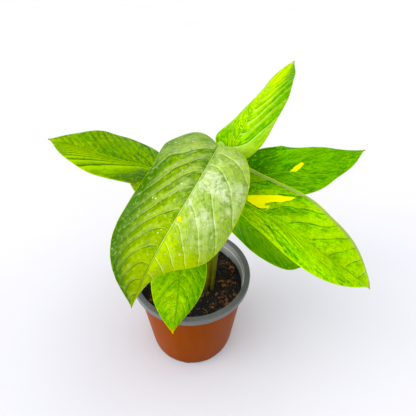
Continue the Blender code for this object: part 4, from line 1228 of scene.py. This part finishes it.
def scatter_tree():
    """Scatters copies of a small piece over a surface: random place, turn and size, and a tone for its colour."""
    tree, inputs = geometry_tree(
        "Scatter on the mix", Density=10000.0, Clumping=0.0, Smallest=0.6, Largest=1.4, Sink=0.0, Tilt=0.5, Seed=0)
    tree.interface.new_socket("Piece", in_out="INPUT", socket_type="NodeSocketObject")
    inputs = tree.nodes["Group Input"].outputs
    spots = add(tree, "GeometryNodeDistributePointsOnFaces")
    tree.links.new(inputs["Geometry"], spots.inputs["Mesh"])
    thick = cloud(tree, add(tree, "GeometryNodeInputPosition").outputs[0], 85.0, 2.0, 0.5)
    clumped = maths(tree, "SUBTRACT", ramp(tree, thick, 0.44, 0.58, 0.0, 2.1), 1.0)
    share = maths(tree, "MULTIPLY_ADD", clumped, inputs["Clumping"], 1.0)
    feed(tree, spots.inputs["Density"], times(tree, inputs["Density"], share))
    tree.links.new(inputs["Seed"], spots.inputs["Seed"])
    source = add(tree, "GeometryNodeObjectInfo", transform_space="ORIGINAL")
    tree.links.new(inputs["Piece"], source.inputs["Object"])

    def chance(low, high, offset):
        node = add(tree, "FunctionNodeRandomValue", data_type="FLOAT")
        feed(tree, node.inputs[2], low)
        feed(tree, node.inputs[3], high)
        seed = maths(tree, "ADD", inputs["Seed"], float(offset))
        tree.links.new(seed, node.inputs["Seed"])
        return node.outputs[1]
    lean = maths(tree, "MULTIPLY", inputs["Tilt"], -1.0)
    turn = vector_of(tree, chance(lean, inputs["Tilt"], 1), chance(lean, inputs["Tilt"], 2),
                     chance(0.0, 2 * math.pi, 3))
    size = chance(inputs["Smallest"], inputs["Largest"], 4)
    copies = add(tree, "GeometryNodeInstanceOnPoints")
    tree.links.new(spots.outputs["Points"], copies.inputs["Points"])
    tree.links.new(source.outputs["Geometry"], copies.inputs["Instance"])
    tree.links.new(turn, copies.inputs["Rotation"])
    tree.links.new(vector_of(tree, size, size, size), copies.inputs["Scale"])
    toned = remember(tree, copies.outputs[0], "tone", chance(0.0, 1.0, 5), domain="INSTANCE")
    sunk = add(tree, "GeometryNodeTranslateInstances")
    tree.links.new(toned, sunk.inputs[0])
    sunk.inputs["Local Space"].default_value = False
    down = maths(tree, "MULTIPLY", inputs["Sink"], -1.0)
    tree.links.new(vector_of(tree, 0.0, 0.0, down), sunk.inputs["Translation"])
    finish_tree(tree, sunk.outputs[0], inputs)
    return tree


def lump(name, size, seed, roughness, subdivisions):
    """A small uneven lump."""
    rng = random.Random(seed)
    bm = bmesh.new()
    bmesh.ops.create_icosphere(bm, subdivisions=subdivisions, radius=0.5)
    for vert in bm.verts:
        vert.co *= 1 + rng.uniform(-roughness, roughness)
        vert.co = Vector([c * s for c, s in zip(vert.co, size)])
    mesh = bpy.data.meshes.new(name)
    bm.to_mesh(mesh)
    bm.free()
    return new_object(name, mesh)


def bark_chip(name, seed):
    """A flat angular chip of bark with broken edges."""
    rng = random.Random(seed)
    bm = bmesh.new()
    bmesh.ops.create_cube(bm, size=1.0)
    bmesh.ops.subdivide_edges(bm, edges=bm.edges, cuts=1, use_grid_fill=True)
    for vert in bm.verts:
        vert.co += Vector([rng.uniform(-0.14, 0.14) for _ in range(3)])
        vert.co = Vector((vert.co.x * 0.0036, vert.co.y * 0.0022, vert.co.z * 0.0014))
    mesh = bpy.data.meshes.new(name)
    bm.to_mesh(mesh)
    bm.free()
    return new_object(name, mesh)


def fibre(name, seed):
    """A thin bent root or twig of a few sides."""
    rng = random.Random(seed)
    sides = 5
    rings = 7
    length = 0.009
    bend = rng.uniform(0.001, 0.0025)
    points = []
    faces = []
    for ring in range(rings):
        part = ring / (rings - 1)
        thin = 0.00028 * (1 - 0.5 * part)
        centre = Vector(((part - 0.5) * length, bend * math.sin(math.pi * part), rng.uniform(-0.0002, 0.0003)))
        for i in range(sides):
            angle = 2 * math.pi * i / sides
            points.append(centre + Vector((0.0, thin * math.cos(angle), thin * math.sin(angle))))
    for ring in range(rings - 1):
        for i in range(sides):
            after = (i + 1) % sides
            low = ring * sides
            faces.append((low + i, low + after, low + sides + after, low + sides + i))
    faces.append(tuple(range(sides)))
    faces.append(tuple(reversed(range((rings - 1) * sides, rings * sides))))
    mesh = mesh_from(name, points, faces)
    outward(mesh)
    return new_object(name, mesh)


def litter_material(name, dark, light, roughness, scale, height):
    """A dull earthy finish whose colour runs from dark to light with each piece's own tone."""
    material, tree, shader, place = new_material(name, Roughness=roughness)
    tone = reading(tree, "tone")
    blotch = cloud(tree, place, scale, 5.0, 0.65)
    mixed = maths(tree, "MULTIPLY_ADD", maths(tree, "SUBTRACT", blotch, 0.5), 1.4, tone)
    colour = blend(tree, ramp(tree, mixed, 0.15, 1.15), dark, light)
    tree.links.new(colour, shader.inputs["Base Color"])
    tree.links.new(ramp(tree, blotch, 0.3, 0.7, roughness - 0.12, roughness + 0.05), shader.inputs["Roughness"])
    bumps(tree, shader, ((blotch, height, 0.8),))
    return material


# Operators

class PLANT_OT_pot(bpy.types.Operator):
    """Builds the two-tone pot with its lip, stacking step, drains and ring of small feet"""
    bl_idname = "prayer_plant.pot"
    bl_label = "Pot"

    def execute(self, context):
        settings = context.scene.prayer_pot
        outside = pot_outside_material(settings)
        inside = pot_inside_material(settings)
        shell = new_object("pot_shell", turned_mesh("pot_shell", pot_profile(), POT_STEPS), inside, outside)
        drains = drain_cutters()
        cut = shell.modifiers.new("Drains", "BOOLEAN")
        cut.operation = "DIFFERENCE"
        cut.solver = "EXACT"
        cut.object = drains
        plain_mesh(shell)
        bpy.data.objects.remove(drains, do_unlink=True)
        lip_bottom = POT_HEIGHT - LIP_SKIRT
        for face in shell.data.polygons:
            radius = math.hypot(face.center.x, face.center.y)
            wall = inner_radius(face.center.z) + STEP_WIDTH + 0.5 * WALL
            below_lip = face.center.z < POT_HEIGHT - 0.9 * WALL and wall < radius < BODY_TOP_RADIUS + 0.0003
            if below_lip or (face.center.z < FLOOR_LIFT + 0.0001 and face.normal.z < 0.1):
                face.material_index = 1
        shell.data.shade_smooth()
        shell.data.set_sharp_from_angle(angle=math.radians(38))
        pad, _ = foot_pad(settings.foot_width)
        pad.data.materials.append(outside)
        run_tree(pad, foot_tree(), Count=settings.foot_count, First_Turn=FOOT_OFFSET, Material=outside)
        plain_mesh(pad)
        pot = joined("nursery_pot", [shell, pad])
        if lip_bottom <= 0:
            raise RuntimeError("the lip is deeper than the pot")
        keep(pot, "pot")
        return {"FINISHED"}


class PLANT_OT_mix(bpy.types.Operator):
    """Fills the pot with dark mix and scatters crumbs, bark chips, fibres and pale grit on it"""
    bl_idname = "prayer_plant.mix"
    bl_label = "Potting Mix"

    def execute(self, context):
        settings = context.scene.prayer_mix
        peat = tuple(settings.peat)
        bark = tuple(settings.bark)
        body_mesh, top_mesh = mix_body()
        soil_finish = litter_material("mix_peat", tuple(c * 0.5 for c in peat), tuple(c * 2.2 for c in peat),
                                      0.92, 700.0, 0.0010)
        body = new_object("mix_body", body_mesh, soil_finish)
        body.data.shade_smooth()
        area = sum(face.area for face in top_mesh.polygons)
        scatter = scatter_tree()
        crumb_finish = litter_material("mix_crumbs", tuple(c * 0.4 for c in peat), tuple(c * 4.0 for c in peat),
                                       0.90, 900.0, 0.0006)
        chip_finish = litter_material("mix_bark", tuple(c * 0.12 for c in bark), tuple(c * 2.0 for c in bark),
                                      0.80, 600.0, 0.0008)
        fibre_finish = litter_material("mix_fibres", (0.090, 0.040, 0.012), (0.420, 0.240, 0.100), 0.75, 500.0,
                                       0.0003)
        grit_finish = litter_material("mix_grit", (0.250, 0.210, 0.160), (0.620, 0.580, 0.500), 0.85, 800.0, 0.0004)
        kinds = (
            ("crumb", lump("crumb_a", (0.0018, 0.0016, 0.0012), 3, 0.20, 1), crumb_finish,
             settings.crumbs * 0.6, 0.5, 1.3, 0.0002, 0.6, 21),
            ("clod", lump("crumb_b", (0.0030, 0.0024, 0.0018), 5, 0.22, 2), crumb_finish,
             settings.crumbs * 0.09, 0.6, 1.3, 0.0004, 0.5, 22),
            ("chip_a", bark_chip("chip_a", 7), chip_finish, settings.chips * 0.6, 0.6, 1.35, 0.0000, 0.5, 23),
            ("chip_b", bark_chip("chip_b", 8), chip_finish, settings.chips * 0.4, 0.5, 1.15, -0.0002, 0.6, 24),
            ("shred", bark_chip("shred", 6), chip_finish, settings.crumbs * 0.22, 0.20, 0.60, 0.0000, 0.9, 28),
            ("fibre_a", fibre("fibre_a", 9), fibre_finish, settings.fibres * 0.5, 0.5, 1.2, -0.0004, 0.25, 25),
            ("fibre_b", fibre("fibre_b", 10), fibre_finish, settings.fibres * 0.5, 0.4, 1.0, -0.0006, 0.35, 26),
            ("grit", lump("grit", (0.0016, 0.0014, 0.0012), 12, 0.25, 1), grit_finish, 26, 0.5, 1.2, 0.0, 0.5, 27),
        )
        parts = [body]
        inner = top_mesh.copy()
        bm = bmesh.new()
        bm.from_mesh(inner)
        rim = inner_radius(SOIL_LEVEL) - 0.0028
        bmesh.ops.delete(bm, geom=[v for v in bm.verts if math.hypot(v.co.x, v.co.y) > rim], context="VERTS")
        bm.to_mesh(inner)
        bm.free()
        for label, source, finish, count, low, high, sink, tilt, seed in kinds:
            spread = new_object(f"mix_{label}", inner.copy(), finish)
            run_tree(spread, scatter, Density=count / area, Clumping=0.0 if finish == crumb_finish else 0.85,
                     Smallest=low, Largest=high, Sink=sink, Tilt=tilt, Seed=seed, Piece=source, Material=finish)
            plain_mesh(spread)
            bpy.data.objects.remove(source, do_unlink=True)
            parts.append(spread)
        mix = joined("potting_mix", parts)
        keep(mix, "soil")
        return {"FINISHED"}


class PLANT_OT_leaves(bpy.types.Operator):
    """Grows the nine leaves, each a quilted blade on its swept stalk"""
    bl_idname = "prayer_plant.leaves"
    bl_label = "Leaves"

    def execute(self, context):
        settings = context.scene.prayer_leaves
        quilting = quilting_tree()
        sweeping = stalk_tree()
        stalk_finish = stalk_material()
        for seed, (name, leaf) in enumerate(LEAVES.items(), start=1):
            make_leaf(name, leaf, settings, quilting, sweeping, stalk_finish, seed)
        return {"FINISHED"}


class PLANT_OT_stage(bpy.types.Operator):
    """Lays the pale floor and sets the soft lights and the camera"""
    bl_idname = "prayer_plant.stage"
    bl_label = "Stage"

    def execute(self, context):
        settings = context.scene.prayer_stage
        scene = context.scene
        scene.view_settings.view_transform = "Standard"
        half = FLOOR_REACH
        floor_mesh = mesh_from("floor", ((-half, -half, 0), (half, -half, 0), (half, half, 0), (-half, half, 0)),
                               [(0, 1, 2, 3)])
        material, tree, shader, place = new_material("pale_floor", Roughness=0.75)
        shade = cloud(tree, place, 3.0, 2.0, 0.5)
        tint = tuple(settings.floor)
        colour = blend(tree, ramp(tree, shade, 0.2, 0.8), tint, tuple(min(1.0, c * 1.03) for c in tint))
        tree.links.new(colour, shader.inputs["Base Color"])
        new_object("floor", floor_mesh, material)
        world = bpy.data.worlds.new("soft_surroundings")
        world.use_nodes = True
        back = world.node_tree.nodes["Background"]
        back.inputs["Color"].default_value = (*settings.sky, 1.0)
        back.inputs["Strength"].default_value = settings.sky_power
        scene.world = world
        for name, direction, spread, power in (
                ("left_light", LEFT_LIGHT, 70.0, settings.left_power),
                ("right_light", RIGHT_LIGHT, 70.0, settings.right_power),
                ("side_light", SIDE_LIGHT, 50.0, settings.side_power)):
            light = bpy.data.lights.new(name, "SUN")
            light.angle = math.radians(spread)
            light.energy = power
            holder = bpy.data.objects.new(name, light)
            scene.collection.objects.link(holder)
            holder.location = direction
            holder.rotation_euler = Vector(direction).to_track_quat("Z", "Y").to_euler()
        ahead = Vector((0.0, math.cos(settings.tilt), -math.sin(settings.tilt)))
        level = Vector((1.0, 0.0, 0.0))
        above = level.cross(ahead)
        right = math.cos(settings.roll) * level + math.sin(settings.roll) * above
        upward = -math.sin(settings.roll) * level + math.cos(settings.roll) * above
        camera = bpy.data.objects.new("camera", bpy.data.cameras.new("camera"))
        scene.collection.objects.link(camera)
        camera.data.lens = settings.lens
        camera.data.sensor_width = SENSOR_WIDTH
        camera.data.clip_start = 0.01
        turn = Matrix((right, upward, -ahead)).transposed()
        camera.matrix_world = Matrix.Translation(CAMERA_PLACE) @ turn.to_4x4()
        scene.camera = camera
        scene.use_nodes = True
        tree = scene.node_tree
        tree.nodes.clear()
        picture = add(tree, "CompositorNodeRLayers")
        grade = add(tree, "CompositorNodeHueSat")
        grade.inputs["Saturation"].default_value = settings.richness
        tree.links.new(picture.outputs["Image"], grade.inputs["Image"])
        tree.links.new(grade.outputs["Image"], add(tree, "CompositorNodeComposite").inputs["Image"])
        return {"FINISHED"}


class PLANT_PT_panel(bpy.types.Panel):
    """Lists the plant's operators and settings"""
    bl_idname = "PLANT_PT_panel"
    bl_label = "Prayer Plant"
    bl_space_type = "VIEW_3D"
    bl_region_type = "UI"
    bl_category = "Prayer Plant"

    def draw(self, context):
        for group, operator in SECTIONS:
            box = self.layout.box()
            box.operator(operator.bl_idname)
            settings = getattr(context.scene, group)
            for name in type(settings).__annotations__:
                box.prop(settings, name)


SECTIONS = (
    ("prayer_pot", PLANT_OT_pot),
    ("prayer_mix", PLANT_OT_mix),
    ("prayer_leaves", PLANT_OT_leaves),
    ("prayer_stage", PLANT_OT_stage),
)
GROUPS = (
    ("prayer_pot", PotSettings),
    ("prayer_mix", MixSettings),
    ("prayer_leaves", LeafSettings),
    ("prayer_stage", StageSettings),
)
CLASSES = (PotSettings, MixSettings, LeafSettings, StageSettings, PLANT_OT_pot, PLANT_OT_mix, PLANT_OT_leaves,
           PLANT_OT_stage, PLANT_PT_panel)


def register():
    for item in CLASSES:
        bpy.utils.register_class(item)
    for name, group in GROUPS:
        setattr(bpy.types.Scene, name, PointerProperty(type=group))


def unregister():
    for name, _ in GROUPS:
        delattr(bpy.types.Scene, name)
    for item in reversed(CLASSES):
        bpy.utils.unregister_class(item)


def main():
    register()
    bpy.ops.prayer_plant.stage()
    bpy.ops.prayer_plant.pot()
    bpy.ops.prayer_plant.mix()
    bpy.ops.prayer_plant.leaves()


if __name__ == "__main__":
    main()
